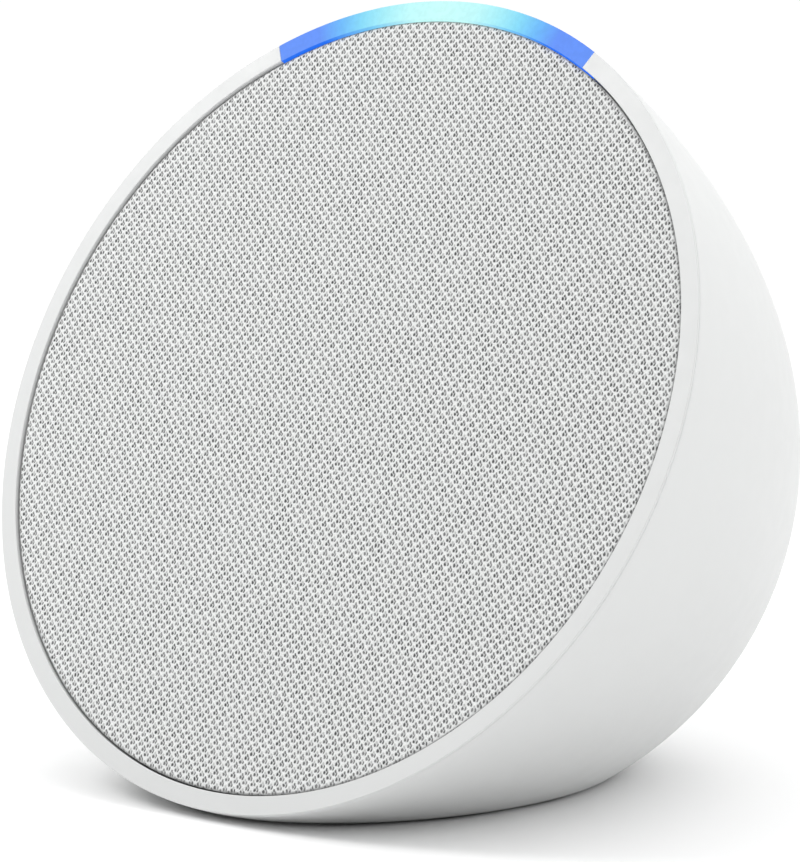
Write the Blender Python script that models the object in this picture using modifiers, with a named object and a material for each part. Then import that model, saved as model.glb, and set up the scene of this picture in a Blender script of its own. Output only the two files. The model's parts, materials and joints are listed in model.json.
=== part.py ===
"""A table-top smart speaker: a round fabric front in a slim bezel, tilted back on a deep domed shell.

Run with: blender --background --python part.py

Metres, +Z up. The front looks along -Y and the origin is under the middle of the object, on the table.
Most pieces are turned about the axis of the round face, so they hang on the empty face_frame: its +X is
the object's +X, its +Y runs up the face and its +Z points out of the face. Depths behind the face are
given as positive numbers there.
"""

import math

import bmesh
import bpy
from mathutils import Matrix, Vector

MM = 0.001

# --- Driving dimensions -------------------------------------------------------------------------------
HEIGHT = 91 * MM
DEPTH = 83 * MM
RIM_RADIUS = 49.5 * MM  # half of the 99 mm width
FACE_TILT = math.radians(25)
DOME_DEPTH = 63.9 * MM  # from the face to the back of the dome, along the face's axis
WALL = 2.0 * MM
GAP = 0.3 * MM  # clearance between neighbours

# The dome's side is one cubic curve; these are its handles.
DOME_FRONT_HANDLE = 0.60  # share of the dome's depth
DOME_FRONT_SLOPE = 0.075  # how fast the radius shrinks behind the rim
DOME_BACK_HANDLE = 0.60  # share of the rim's radius

# Bezel, light bar and grille
BEZEL_INNER = 47.15 * MM
BEZEL_OUTER = 49.35 * MM
SCARF = 0.9 * MM  # the slanted joint between bezel and shell
RIM_WALL = 1.5 * MM  # the shell is thinner where the bezel's skirt fits in
SKIRT_OUTER = 47.75 * MM
FLANGE_TOP = 2.6 * MM
FLANGE_BOTTOM = 3.8 * MM
FLANGE_INNER = 44.0 * MM
BEZEL_CHORD = 46.75 * MM  # the skirt is cut off flat there, above the shell's base
LIGHT_HALF_ANGLE = math.radians(28.8)
LIGHT_STEM_END = 4.6 * MM
FABRIC_RADIUS = 46.85 * MM
FABRIC_TOP = 0.25 * MM
FABRIC_BOTTOM = 0.75 * MM
GRILLE_RADIUS = 46.7 * MM
GRILLE_TOP = 0.9 * MM
GRILLE_BOTTOM = 2.3 * MM
GRILLE_HOLE = 4.2 * MM
GRILLE_RINGS = (0, 6, 12)
GRILLE_PITCH = 13 * MM

# Base
SHELL_BOTTOM = 0.35 * MM
FOOT_POCKET = 1.5 * MM  # the height that the foot's pocket reaches up to
FOOT_INSET = 0.8 * MM  # from the dome's outside to the foot's edge
FOOT_FRONT = 7.0 * MM  # the foot starts that far behind the face
BASE_TOP = 4.0 * MM
BASE_SCREWS = [(x * MM, y * MM) for x in (-13, 13) for y in (-16, 7)]
PLATE_BOTTOM = 4.3 * MM
PLATE_TOP = 5.8 * MM

# Buttons and microphones, in a row behind the light bar
BUTTON_DEPTH = 19.0 * MM  # behind the face
BUTTON_STEP = math.radians(20)
BUTTON_RADIUS = 4.6 * MM
BUTTON_PROUD = 0.25 * MM
BUTTON_TRAVEL = 0.5 * MM
BUTTON_BOARD_DROP = 8.8 * MM  # below the dome's outside
BUTTON_BOARD_AHEAD = 2.6 * MM  # from the keys' axes to the strip's front edge
BUTTON_BOARD_BEHIND = 5.4 * MM
BUTTON_BOARD_THICK = 1.0 * MM
MICROPHONE_HOLE = 0.6 * MM

# Loudspeaker driver, 50 mm across
DRIVER_UP = -3.0 * MM
BAFFLE_TOP = 10.2 * MM
BAFFLE_BOTTOM = 12.2 * MM
BAFFLE_RADIUS = 45.9 * MM
CHAMBER_END = 37.0 * MM
CHASSIS_SCREW_RADIUS = 43.4 * MM
CHASSIS_SCREW_ANGLES = [math.radians(a) for a in (38, 142, 212, 328)]

# Power inlet, along +Y
INLET_HEIGHT = 20.0 * MM
RECESS_RADIUS = 5.6 * MM
RECESS_FLOOR = 31.0 * MM
INLET_BACK = 18.5 * MM

# Main board
BOARD_FRONT = 39.8 * MM
BOARD_BACK = 41.2 * MM
BOARD_RADIUS = 26.0 * MM
BOARD_UP = 5.0 * MM

# Fineness of round pieces
FINE = 60
MEDIUM = 44
ROUND = 28
COARSE = 16
SMALL = 8

FACE_CENTRE = Vector((0, -DEPTH / 2 + RIM_RADIUS * math.sin(FACE_TILT), HEIGHT - RIM_RADIUS * math.cos(FACE_TILT)))
FACE_TURN = math.pi / 2 - FACE_TILT

COLOURS = {
    "white_plastic": ((0.80, 0.81, 0.81), 0.55, 0.0),
    "light_guide": ((0.45, 0.80, 1.00), 0.35, 0.0),
    "fabric": ((0.62, 0.63, 0.63), 0.95, 0.0),
    "grey_plastic": ((0.22, 0.23, 0.24), 0.6, 0.0),
    "black_plastic": ((0.03, 0.03, 0.035), 0.5, 0.0),
    "foot_rubber": ((0.35, 0.36, 0.36), 0.85, 0.0),
    "soft_rubber": ((0.05, 0.05, 0.05), 0.8, 0.0),
    "foam": ((0.07, 0.07, 0.08), 1.0, 0.0),
    "paper_cone": ((0.10, 0.10, 0.11), 0.8, 0.0),
    "plated_steel": ((0.62, 0.62, 0.64), 0.35, 1.0),
    "ferrite": ((0.12, 0.12, 0.13), 0.6, 0.2),
    "copper": ((0.72, 0.38, 0.20), 0.35, 1.0),
    "circuit_board": ((0.02, 0.14, 0.08), 0.4, 0.0),
    "white_led": ((0.92, 0.92, 0.80), 0.3, 0.0),
    "shield_can": ((0.75, 0.75, 0.76), 0.3, 1.0),
    "red_wire": ((0.60, 0.03, 0.03), 0.45, 0.0),
    "black_wire": ((0.02, 0.02, 0.02), 0.45, 0.0),
    "flat_cable": ((0.80, 0.78, 0.70), 0.4, 0.0),
    "spider_cloth": ((0.75, 0.55, 0.22), 0.9, 0.0),
}


# --- Scene and materials ------------------------------------------------------------------------------
def clear_scene():
    for old in list(bpy.data.objects):
        bpy.data.objects.remove(old)


def new_collection(name):
    made = bpy.data.collections.new(name)
    bpy.context.scene.collection.children.link(made)
    return made


def material(name):
    """The Principled material of that name, made the first time it is asked for."""
    found = bpy.data.materials.get(name)
    if found:
        return found
    colour, roughness, metallic = COLOURS[name]
    made = bpy.data.materials.new(name)
    made.use_nodes = True
    shader = made.node_tree.nodes["Principled BSDF"]
    shader.inputs["Base Color"].default_value = (*colour, 1)
    shader.inputs["Roughness"].default_value = roughness
    shader.inputs["Metallic"].default_value = metallic
    return made


clear_scene()
PARTS = new_collection("smart_speaker")
CUTTERS = new_collection("cutters")


def add_empty(name, location, turn=0.0, parent=None):
    empty = bpy.data.objects.new(name, None)
    PARTS.objects.link(empty)
    empty.parent = parent
    empty.location = location
    empty.rotation_euler = (turn, 0, 0)
    return empty


FACE = add_empty("face_frame", FACE_CENTRE, FACE_TURN)
DRIVER = add_empty("driver_frame", (0, DRIVER_UP, 0), 0.0, FACE)


# --- Shape helpers ------------------------------------------------------------------------------------
def finish(mesh, name, look, parent=None, location=(0, 0, 0), turn=(0, 0, 0)):
    """A part when it has a look, and a cutter or joined helper when look is None."""
    made = bpy.data.objects.new(name, mesh)
    made.parent = parent
    made.location = location
    made.rotation_euler = turn
    if look:
        mesh.materials.append(material(look))
        PARTS.objects.link(made)
    else:
        made.hide_render = True
        made.display_type = "WIRE"
        CUTTERS.objects.link(made)
    return made


def from_bmesh(shape, name, look, parent=None, location=(0, 0, 0), turn=(0, 0, 0)):
    mesh = bpy.data.meshes.new(name)
    shape.to_mesh(mesh)
    shape.free()
    return finish(mesh, name, look, parent, location, turn)


def box(name, look, low, high, parent=None):
    """A box between two opposite corners."""
    low, high = Vector(low), Vector(high)
    shape = bmesh.new()
    bmesh.ops.create_cube(shape, size=1)
    bmesh.ops.scale(shape, vec=high - low, verts=shape.verts)
    bmesh.ops.translate(shape, vec=(low + high) / 2, verts=shape.verts)
    return from_bmesh(shape, name, look, parent)


def rod(name, look, radius, start, end, parent=None, sides=COARSE, end_radius=None):
    """A straight round bar, or a cone when end_radius differs, from start to end."""
    start, end = Vector(start), Vector(end)
    along = end - start
    shape = bmesh.new()
    bmesh.ops.create_cone(
        shape,
        cap_ends=True,
        segments=sides,
        radius1=radius,
        radius2=radius if end_radius is None else end_radius,
        depth=along.length,
    )
    place = Matrix.Translation((start + end) / 2) @ along.to_track_quat("Z", "Y").to_matrix().to_4x4()
    bmesh.ops.transform(shape, matrix=place, verts=shape.verts)
    made = from_bmesh(shape, name, look, parent)
    made.data.shade_smooth()
    made.data.set_sharp_from_angle(angle=math.radians(40))
    return made


def turned(name, look, profile, parent=None, sides=MEDIUM, closed=True):
    """A profile of (radius, height) points turned about the parent's Z. It runs down its outer side.

    A closed profile makes a ring; an open one starts and ends on the axis."""
    mesh = bpy.data.meshes.new(name)
    points = [(radius, 0, height) for radius, height in profile]
    edges = [(i, i + 1) for i in range(len(points) - 1)]
    if closed:
        edges.append((len(points) - 1, 0))
    mesh.from_pydata(points, edges, [])
    made = finish(mesh, name, look, parent)
    screw = made.modifiers.new("turn", "SCREW")
    screw.axis = "Z"
    screw.steps = sides
    screw.render_steps = sides
    screw.use_merge_vertices = True
    screw.merge_threshold = 0.00001
    screw.use_smooth_shade = True
    return made


def sector(name, half_angle, low, high, radius=60 * MM, middle=math.pi / 2, parent=None):
    """A wedge with its edge on the parent's Z, open by twice half_angle about the middle direction."""
    shape = bmesh.new()
    corners = [(0, 0)]
    for angle in (middle - half_angle, middle + half_angle):
        corners.append((radius * math.cos(angle), radius * math.sin(angle)))
    face = shape.faces.new([shape.verts.new((x, y, low)) for x, y in corners])
    raised = bmesh.ops.extrude_face_region(shape, geom=[face])["geom"]
    moved = [v for v in raised if isinstance(v, bmesh.types.BMVert)]
    bmesh.ops.translate(shape, vec=(0, 0, high - low), verts=moved)
    bmesh.ops.recalc_face_normals(shape, faces=shape.faces)
    return from_bmesh(shape, name, None, parent)


def boolean(target, tool, operation="DIFFERENCE"):
    change = target.modifiers.new(operation.lower(), "BOOLEAN")
    change.operation = operation
    change.object = tool
    return target


def wire(name, look, radius, points, parent=None):
    """A round wire through a smooth curve on the given points."""
    curve = bpy.data.curves.new(name, "CURVE")
    curve.dimensions = "3D"
    curve.bevel_depth = radius
    curve.bevel_resolution = 2
    curve.use_fill_caps = True
    smooth = smoothed([Vector(p) for p in points])
    line = curve.splines.new("POLY")
    line.points.add(len(smooth) - 1)
    for place, point in zip(line.points, smooth):
        place.co = (*point, 1)
    made = bpy.data.objects.new(name, curve)
    curve.materials.append(material(look))
    made.parent = parent
    PARTS.objects.link(made)
    return made


def smoothed(points, steps=4):
    """Catmull-Rom points through the given ones."""
    ends = [2 * points[0] - points[1], *points, 2 * points[-1] - points[-2]]
    found = []
    for a, b, c, d in zip(ends, ends[1:], ends[2:], ends[3:]):
        for i in range(steps):
            t = i / steps
            found.append(
                0.5 * (2 * b + (c - a) * t + (2 * a - 5 * b + 4 * c - d) * t**2 + (3 * b - a - 3 * c + d) * t**3)
            )
    return [*found, points[-1]]


def ribbon(name, look, half_width, route, thick, parent=None):
    """A flat cable: its route is given as (up, height) points, and it is centred on X = 0."""
    smooth = smoothed([Vector((0, up, height)) for up, height in route])
    shape = bmesh.new()
    rows = [
        [shape.verts.new((x, p.y, p.z)) for x in (-half_width, half_width)]
        for p in smooth
    ]
    for (a, b), (c, d) in zip(rows, rows[1:]):
        shape.faces.new((a, b, d, c))
    made = from_bmesh(shape, name, look, parent)
    wall = made.modifiers.new("thickness", "SOLIDIFY")
    wall.thickness = thick
    wall.offset = 0
    return made


# --- The dome's curve ---------------------------------------------------------------------------------
def dome_point(t, inset=0.0):
    """(radius, depth) on the dome's side curve at t from 0, the rim, to 1, the pole, moved in by inset."""
    front = DOME_FRONT_HANDLE * DOME_DEPTH
    handles = (
        Vector((RIM_RADIUS, 0)),
        Vector((RIM_RADIUS - DOME_FRONT_SLOPE * front, front)),
        Vector((DOME_BACK_HANDLE * RIM_RADIUS, DOME_DEPTH)),
        Vector((0, DOME_DEPTH)),
    )
    a, b, c, d = handles
    u = 1 - t
    place = u**3 * a + 3 * u * u * t * b + 3 * u * t * t * c + t**3 * d
    run = 3 * (u * u * (b - a) + 2 * u * t * (c - b) + t * t * (d - c))
    run.normalize()
    return place + inset * Vector((-run.y, run.x))


def dome_at_depth(depth):
    """(radius, outward normal as radius and depth) of the dome's outside at a depth behind the face."""
    low, high = 0.0, 1.0
    for _ in range(40):
        middle = (low + high) / 2
        if dome_point(middle).y < depth:
            low = middle
        else:
            high = middle
    near, far = dome_point(low - 1e-4), dome_point(low + 1e-4)
    run = (far - near).normalized()
    return dome_point(low).x, Vector((run.y, -run.x))


def dome_profile(steps, inset, first_depth, first_radius):
    """An open profile that starts on the axis at first_depth, goes out and runs back to the pole."""
    points = [(0, -first_depth), (first_radius, -first_depth)]
    for i in range(steps + 1):
        radius, depth = dome_point(i / steps, inset)
        if depth > first_depth + 1.5 * MM:
            points.append((0 if i == steps else radius, -depth))
    return points


# --- Shell --------------------------------------------------------------------------------------------
def rear_shell():
    """The domed casing: one moulding with a flat base, a foot pocket, bosses and its openings."""
    chamfer = SCARF + 0.15 * MM
    profile = dome_profile(11, 0.0, chamfer, RIM_RADIUS - SCARF)
    profile.insert(2, (RIM_RADIUS, -0.15 * MM))
    shell = turned("rear_shell", "white_plastic", profile, FACE, FINE, closed=False)
    below = box("below_shell", None, (-80 * MM, -80 * MM, -40 * MM), (80 * MM, 80 * MM, SHELL_BOTTOM))
    boolean(shell, below)

    cavity = turned("shell_cavity", None, cavity_profile(), FACE, MEDIUM, closed=False)
    base = box("base_block", None, (-80 * MM, -80 * MM, -40 * MM), (80 * MM, 80 * MM, BASE_TOP))
    recess = rod("bezel_recess", None, RIM_RADIUS, (0, 0, -FLANGE_BOTTOM - GAP), (0, 0, 5 * MM), FACE, FINE)
    boolean(recess, under_chord("recess_chord", BEZEL_CHORD + GAP, 20 * MM))
    boolean(base, recess)
    boolean(cavity, base)
    boolean(shell, cavity)

    core = turned("wall_core", None, dome_profile(8, WALL / 2, 1 * MM, RIM_RADIUS - WALL / 2), FACE, MEDIUM, closed=False)
    for boss, hole in zip(chassis_bosses(), chassis_holes()):
        boolean(shell, boolean(boss, core, "INTERSECT"), "UNION")
        boolean(shell, hole)
    boolean(shell, boolean(inlet_boss(), core, "INTERSECT"), "UNION")
    recess = rod("inlet_recess", None, RECESS_RADIUS, (0, RECESS_FLOOR, INLET_HEIGHT), (0, 60 * MM, INLET_HEIGHT), sides=ROUND)
    boolean(shell, recess)
    collar_hole = rod("collar_hole", None, 4.2 * MM, (0, 25 * MM, INLET_HEIGHT), (0, 33 * MM, INLET_HEIGHT))
    boolean(shell, collar_hole)

    for place in button_places():
        hole = rod("button_hole", None, BUTTON_RADIUS + GAP, (0, 0, -5 * MM), (0, 0, 3 * MM), place, ROUND)
        boolean(shell, hole)
    for place in microphone_places():
        boolean(shell, rod("microphone_hole", None, MICROPHONE_HOLE, (0, 0, -4 * MM), (0, 0, 2 * MM), place, SMALL))

    boolean(shell, foot_block("foot_pocket", None, -5 * MM, FOOT_POCKET, FOOT_INSET - GAP))
    for x, y in BASE_SCREWS:
        boolean(shell, rod("screw_hole", None, 1.5 * MM, (x, y, 0), (x, y, 8 * MM), sides=SMALL))
        boolean(shell, rod("screw_sink", None, 2.7 * MM, (x, y, 0), (x, y, 2.9 * MM), sides=COARSE))
    return shell


def cavity_profile():
    """The hollow inside the shell: wider in front, where the bezel's skirt goes."""
    skirt_end = 6.0 * MM
    points = [(0, 5 * MM), (RIM_RADIUS - RIM_WALL, 5 * MM), (RIM_RADIUS - RIM_WALL, -skirt_end)]
    steps = 7
    for i in range(steps + 1):
        radius, depth = dome_point(i / steps, WALL)
        if depth > skirt_end + 0.5 * MM:
            points.append((0 if i == steps else radius, -depth))
    return points


def chassis_bosses():
    """Posts that take the chassis screws. They run back until they are wholly in the shell's wall."""
    top = BAFFLE_BOTTOM + GAP
    for angle in CHASSIS_SCREW_ANGLES:
        x, y = CHASSIS_SCREW_RADIUS * math.cos(angle), CHASSIS_SCREW_RADIUS * math.sin(angle)
        yield rod("chassis_boss", None, 3.4 * MM, (x, y, -top), (x, y, -25 * MM), FACE, COARSE)


def chassis_holes():
    for angle in CHASSIS_SCREW_ANGLES:
        x, y = CHASSIS_SCREW_RADIUS * math.cos(angle), CHASSIS_SCREW_RADIUS * math.sin(angle)
        yield rod("chassis_hole", None, 1.35 * MM, (x, y, -5 * MM), (x, y, -22 * MM), FACE, SMALL)


def inlet_boss():
    """The collar inside the shell round the power inlet's recess. The wall's core trims its back end."""
    return rod("inlet_boss", None, 7.2 * MM, (0, 28.6 * MM, INLET_HEIGHT), (0, 50 * MM, INLET_HEIGHT), sides=ROUND)


# --- Front --------------------------------------------------------------------------------------------
def front_bezel():
    """The slim ring round the fabric, with its skirt, the shelf for the grille and the light bar's notch."""
    profile = [
        (BEZEL_INNER, 0),
        (BEZEL_OUTER, 0),
        (BEZEL_OUTER - SCARF, -SCARF),
        (SKIRT_OUTER, -SCARF),
        (SKIRT_OUTER, -FLANGE_BOTTOM),
        (FLANGE_INNER, -FLANGE_BOTTOM),
        (FLANGE_INNER, -FLANGE_TOP),
        (BEZEL_INNER, -FLANGE_TOP),
    ]
    bezel = turned("front_bezel", "white_plastic", profile, FACE, FINE)
    notch = turned(
        "light_notch",
        None,
        [(46.2 * MM, 1 * MM), (55 * MM, 1 * MM), (55 * MM, -6 * MM), (46.2 * MM, -6 * MM)],
        FACE,
        FINE,
    )
    wedge = sector("light_wedge", LIGHT_HALF_ANGLE + 0.1 * MM / RIM_RADIUS, -10 * MM, 10 * MM, parent=FACE)
    boolean(notch, wedge, "INTERSECT")
    boolean(bezel, notch)
    boolean(bezel, under_chord("bezel_chord", BEZEL_CHORD, -SCARF - 0.05 * MM))
    return bezel


def under_chord(name, reach, top):
    """All that is lower on the face than reach below its centre, up to a height along the face's axis."""
    return box(name, None, (-60 * MM, -70 * MM, -30 * MM), (60 * MM, -reach, top), FACE)


def light_bar():
    """The translucent bar that fills the bezel's notch and reaches down to the light emitters."""
    profile = [
        (BEZEL_INNER, 0),
        (BEZEL_OUTER, 0),
        (BEZEL_OUTER - SCARF, -SCARF),
        (SKIRT_OUTER, -SCARF),
        (SKIRT_OUTER, -LIGHT_STEM_END),
        (BEZEL_INNER, -LIGHT_STEM_END),
    ]
    bar = turned("light_bar", "light_guide", profile, FACE, FINE)
    wedge = sector("bar_wedge", LIGHT_HALF_ANGLE, -10 * MM, 10 * MM, parent=FACE)
    return boolean(bar, wedge, "INTERSECT")


def grille():
    """The perforated plate and the fabric stretched over it."""
    plate = [(0, -GRILLE_TOP), (GRILLE_RADIUS, -GRILLE_TOP), (GRILLE_RADIUS, -GRILLE_BOTTOM), (0, -GRILLE_BOTTOM)]
    frame = turned("grille_frame", "grey_plastic", plate, FACE, MEDIUM, closed=False)
    drill = bmesh.new()
    for ring, count in enumerate(GRILLE_RINGS):
        for i in range(max(count, 1)):
            angle = 2 * math.pi * i / max(count, 1)
            reach = ring * GRILLE_PITCH
            place = Matrix.Translation((reach * math.cos(angle), reach * math.sin(angle), 0))
            made = bmesh.ops.create_cone(
                drill, cap_ends=True, segments=6, radius1=GRILLE_HOLE, radius2=GRILLE_HOLE, depth=10 * MM
            )
            bmesh.ops.transform(drill, matrix=place, verts=made["verts"])
    boolean(frame, from_bmesh(drill, "grille_drill", None, FACE))
    cloth = [(0, -FABRIC_TOP), (FABRIC_RADIUS, -FABRIC_TOP), (FABRIC_RADIUS, -FABRIC_BOTTOM), (0, -FABRIC_BOTTOM)]
    turned("grille_fabric", "fabric", cloth, FACE, FINE, closed=False)


def light_electronics():
    """The curved board under the light bar, its four emitters and the foam that keeps stray light in."""
    half = LIGHT_HALF_ANGLE
    board = turned(
        "light_board",
        "circuit_board",
        [(41 * MM, -5.8 * MM), (47.6 * MM, -5.8 * MM), (47.6 * MM, -6.8 * MM), (41 * MM, -6.8 * MM)],
        FACE,
        MEDIUM,
    )
    boolean(board, sector("board_wedge", half, -12 * MM, 0, parent=FACE), "INTERSECT")
    foam = turned(
        "light_foam",
        "foam",
        [(41.5 * MM, -4.1 * MM), (45.6 * MM, -4.1 * MM), (45.6 * MM, -5.5 * MM), (41.5 * MM, -5.5 * MM)],
        FACE,
        MEDIUM,
    )
    boolean(foam, sector("foam_wedge", half, -12 * MM, 0, parent=FACE), "INTERSECT")
    count = 4
    for i in range(count):
        angle = half * (2 * (i + 0.5) / count - 1)
        spot = add_empty(f"emitter_frame_{i + 1}", (0, 0, 0), 0.0, FACE)
        spot.rotation_euler = (0, 0, -angle)
        low = (-0.9 * MM, 46.0 * MM, -5.6 * MM)
        box(f"light_emitter_{i + 1}", "white_led", low, (0.9 * MM, 47.5 * MM, -4.8 * MM), spot)


# --- Foot and base ------------------------------------------------------------------------------------
def foot_block(name, look, bottom, top, inset):
    """A slice of the dome between two heights, drawn in from its outside by inset."""
    front = FOOT_FRONT if look else FOOT_FRONT - GAP
    profile = dome_profile(11, inset, front, dome_at_depth(front)[0] - inset)
    block = turned(name, look, profile, FACE, FINE, closed=False)
    slab = box(f"{name}_slab", None, (-60 * MM, -60 * MM, bottom), (60 * MM, 60 * MM, top))
    return boolean(block, slab, "INTERSECT")


def foot_and_base():
    """The rubber foot, the steel plate that weighs the base down, and the screws under the foot."""
    foot_block("foot_pad", "foot_rubber", 0, FOOT_POCKET - GAP, FOOT_INSET)
    plate = box(
        "ballast_plate",
        "plated_steel",
        (-16 * MM, -19 * MM, PLATE_BOTTOM),
        (16 * MM, 11 * MM, PLATE_TOP),
    )
    edge = plate.modifiers.new("corners", "BEVEL")
    edge.width = 3 * MM
    edge.segments = 3
    edge.limit_method = "WEIGHT"
    weigh_upright_edges(plate.data)
    for number, (x, y) in enumerate(BASE_SCREWS, 1):
        boolean(plate, rod("plate_hole", None, 1.5 * MM, (x, y, 0), (x, y, 9 * MM), sides=SMALL))
        screw(f"base_screw_{number}", None, (x, y, FOOT_POCKET + 0.15 * MM), (0, 0, 0), 1.0 * MM, 4.6 * MM, up=1)


def weigh_upright_edges(mesh):
    """Marks the four upright edges of a box for the Bevel modifier."""
    weight = mesh.attributes.new("bevel_weight_edge", "FLOAT", "EDGE")
    for edge in mesh.edges:
        a, b = (mesh.vertices[i].co for i in edge.vertices)
        weight.data[edge.index].value = 1.0 if abs(a.z - b.z) > 0.5 * MM else 0.0


def screw(name, parent, location, turn, head, length, up=-1, head_radius=2.3 * MM, shank_radius=1.15 * MM):
    """A pan head screw with a cross slot. Its head's free face is at location; it points along up times Z."""
    z = up
    profile = [
        (0, 0),
        (head_radius * 0.7, 0),
        (head_radius, z * head * 0.45),
        (head_radius, z * head),
        (shank_radius, z * head),
        (shank_radius, z * (length - 0.6 * MM)),
        (shank_radius * 0.4, z * length),
        (0, z * length),
    ]
    if up > 0:
        profile.reverse()
    made = turned(name, "plated_steel", profile, parent, SMALL, closed=False)
    made.location = location
    made.rotation_euler = turn
    reach, half = head_radius * 0.6, 0.28 * MM
    slot = box("slot", None, (-reach, -half, -0.45 * MM), (reach, half, 0.45 * MM), parent)
    slot.location = location
    slot.rotation_euler = turn
    boolean(made, slot)
    return made


# --- Buttons and microphones --------------------------------------------------------------------------
def on_dome(name, angle, depth):
    """An empty on the dome's outside, its Z along the outward normal, at an angle from the top."""
    radius, normal = dome_at_depth(depth)
    out = Vector((math.sin(angle), math.cos(angle), 0))
    z = (normal.x * out + Vector((0, 0, -normal.y))).normalized()
    x = Vector((math.cos(angle), -math.sin(angle), 0))
    y = z.cross(x)
    place = Matrix((x, y, z)).transposed()
    empty = add_empty(name, radius * out + Vector((0, 0, -depth)), 0.0, FACE)
    empty.rotation_euler = place.to_euler()
    return empty


BUTTON_NAMES = ("volume_down", "mute", "volume_up")
BUTTON_FRAMES = [on_dome(f"{name}_frame", (i - 1) * BUTTON_STEP, BUTTON_DEPTH) for i, name in enumerate(BUTTON_NAMES)]
MICROPHONE_FRAMES = [on_dome(f"microphone_frame_{i}", side * BUTTON_STEP / 2, BUTTON_DEPTH) for i, side in ((1, -1), (2, 1))]


def button_places():
    return BUTTON_FRAMES


def microphone_places():
    return MICROPHONE_FRAMES


def buttons():
    """Three keys, each with a dished cap, a flange that keeps it in, and a stem above its switch."""
    flange_top, flange_bottom, stem_end = -2.8 * MM, -3.5 * MM, -5.2 * MM
    profile = [
        (0, BUTTON_PROUD - 0.35 * MM),
        (BUTTON_RADIUS * 0.5, BUTTON_PROUD - 0.24 * MM),
        (BUTTON_RADIUS * 0.85, BUTTON_PROUD),
        (BUTTON_RADIUS - 0.25 * MM, BUTTON_PROUD),
        (BUTTON_RADIUS, BUTTON_PROUD - 0.25 * MM),
        (BUTTON_RADIUS, flange_top),
        (BUTTON_RADIUS + 1.0 * MM, flange_top),
        (BUTTON_RADIUS + 1.0 * MM, flange_bottom),
        (1.5 * MM, flange_bottom),
        (1.5 * MM, stem_end),
        (0, stem_end),
    ]
    for name, place in zip(BUTTON_NAMES, BUTTON_FRAMES):
        turned(f"{name}_button", "white_plastic", profile, place, ROUND, closed=False)
        body = box(f"{name}_switch", "black_plastic", (-2.2 * MM, -2.2 * MM, -8.5 * MM), (2.2 * MM, 2.2 * MM, -7 * MM), place)
        plunger = rod("plunger", None, 1.1 * MM, (0, 0, -7.5 * MM), (0, 0, stem_end - BUTTON_TRAVEL - 0.05 * MM), place, SMALL)
        boolean(body, plunger, "UNION")


def button_board():
    """The curved strip that carries the switches and the two microphones."""
    radius, normal = dome_at_depth(BUTTON_DEPTH)
    middle = Vector((radius, BUTTON_DEPTH)) - BUTTON_BOARD_DROP * normal
    along = Vector((-normal.y, normal.x))
    front, back = middle - BUTTON_BOARD_AHEAD * along, middle + BUTTON_BOARD_BEHIND * along
    inward = -BUTTON_BOARD_THICK * normal
    corners = (front + inward, front, back, back + inward)
    profile = [(corner.x, -corner.y) for corner in corners]
    board = turned("button_board", "circuit_board", profile, FACE, FINE)
    boolean(board, sector("strip_wedge", 1.35 * BUTTON_STEP, -30 * MM, 0, parent=FACE), "INTERSECT")
    for i, place in enumerate(MICROPHONE_FRAMES, 1):
        box(f"microphone_{i}", "shield_can", (-1.5 * MM, -1.9 * MM, -8.5 * MM), (1.5 * MM, 1.9 * MM, -7.3 * MM), place)
        tube = [
            (MICROPHONE_HOLE, -2.5 * MM),
            (1.5 * MM, -2.5 * MM),
            (1.5 * MM, -7.0 * MM),
            (MICROPHONE_HOLE, -7.0 * MM),
        ]
        turned(f"microphone_seal_{i}", "soft_rubber", tube, place, SMALL)


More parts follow.
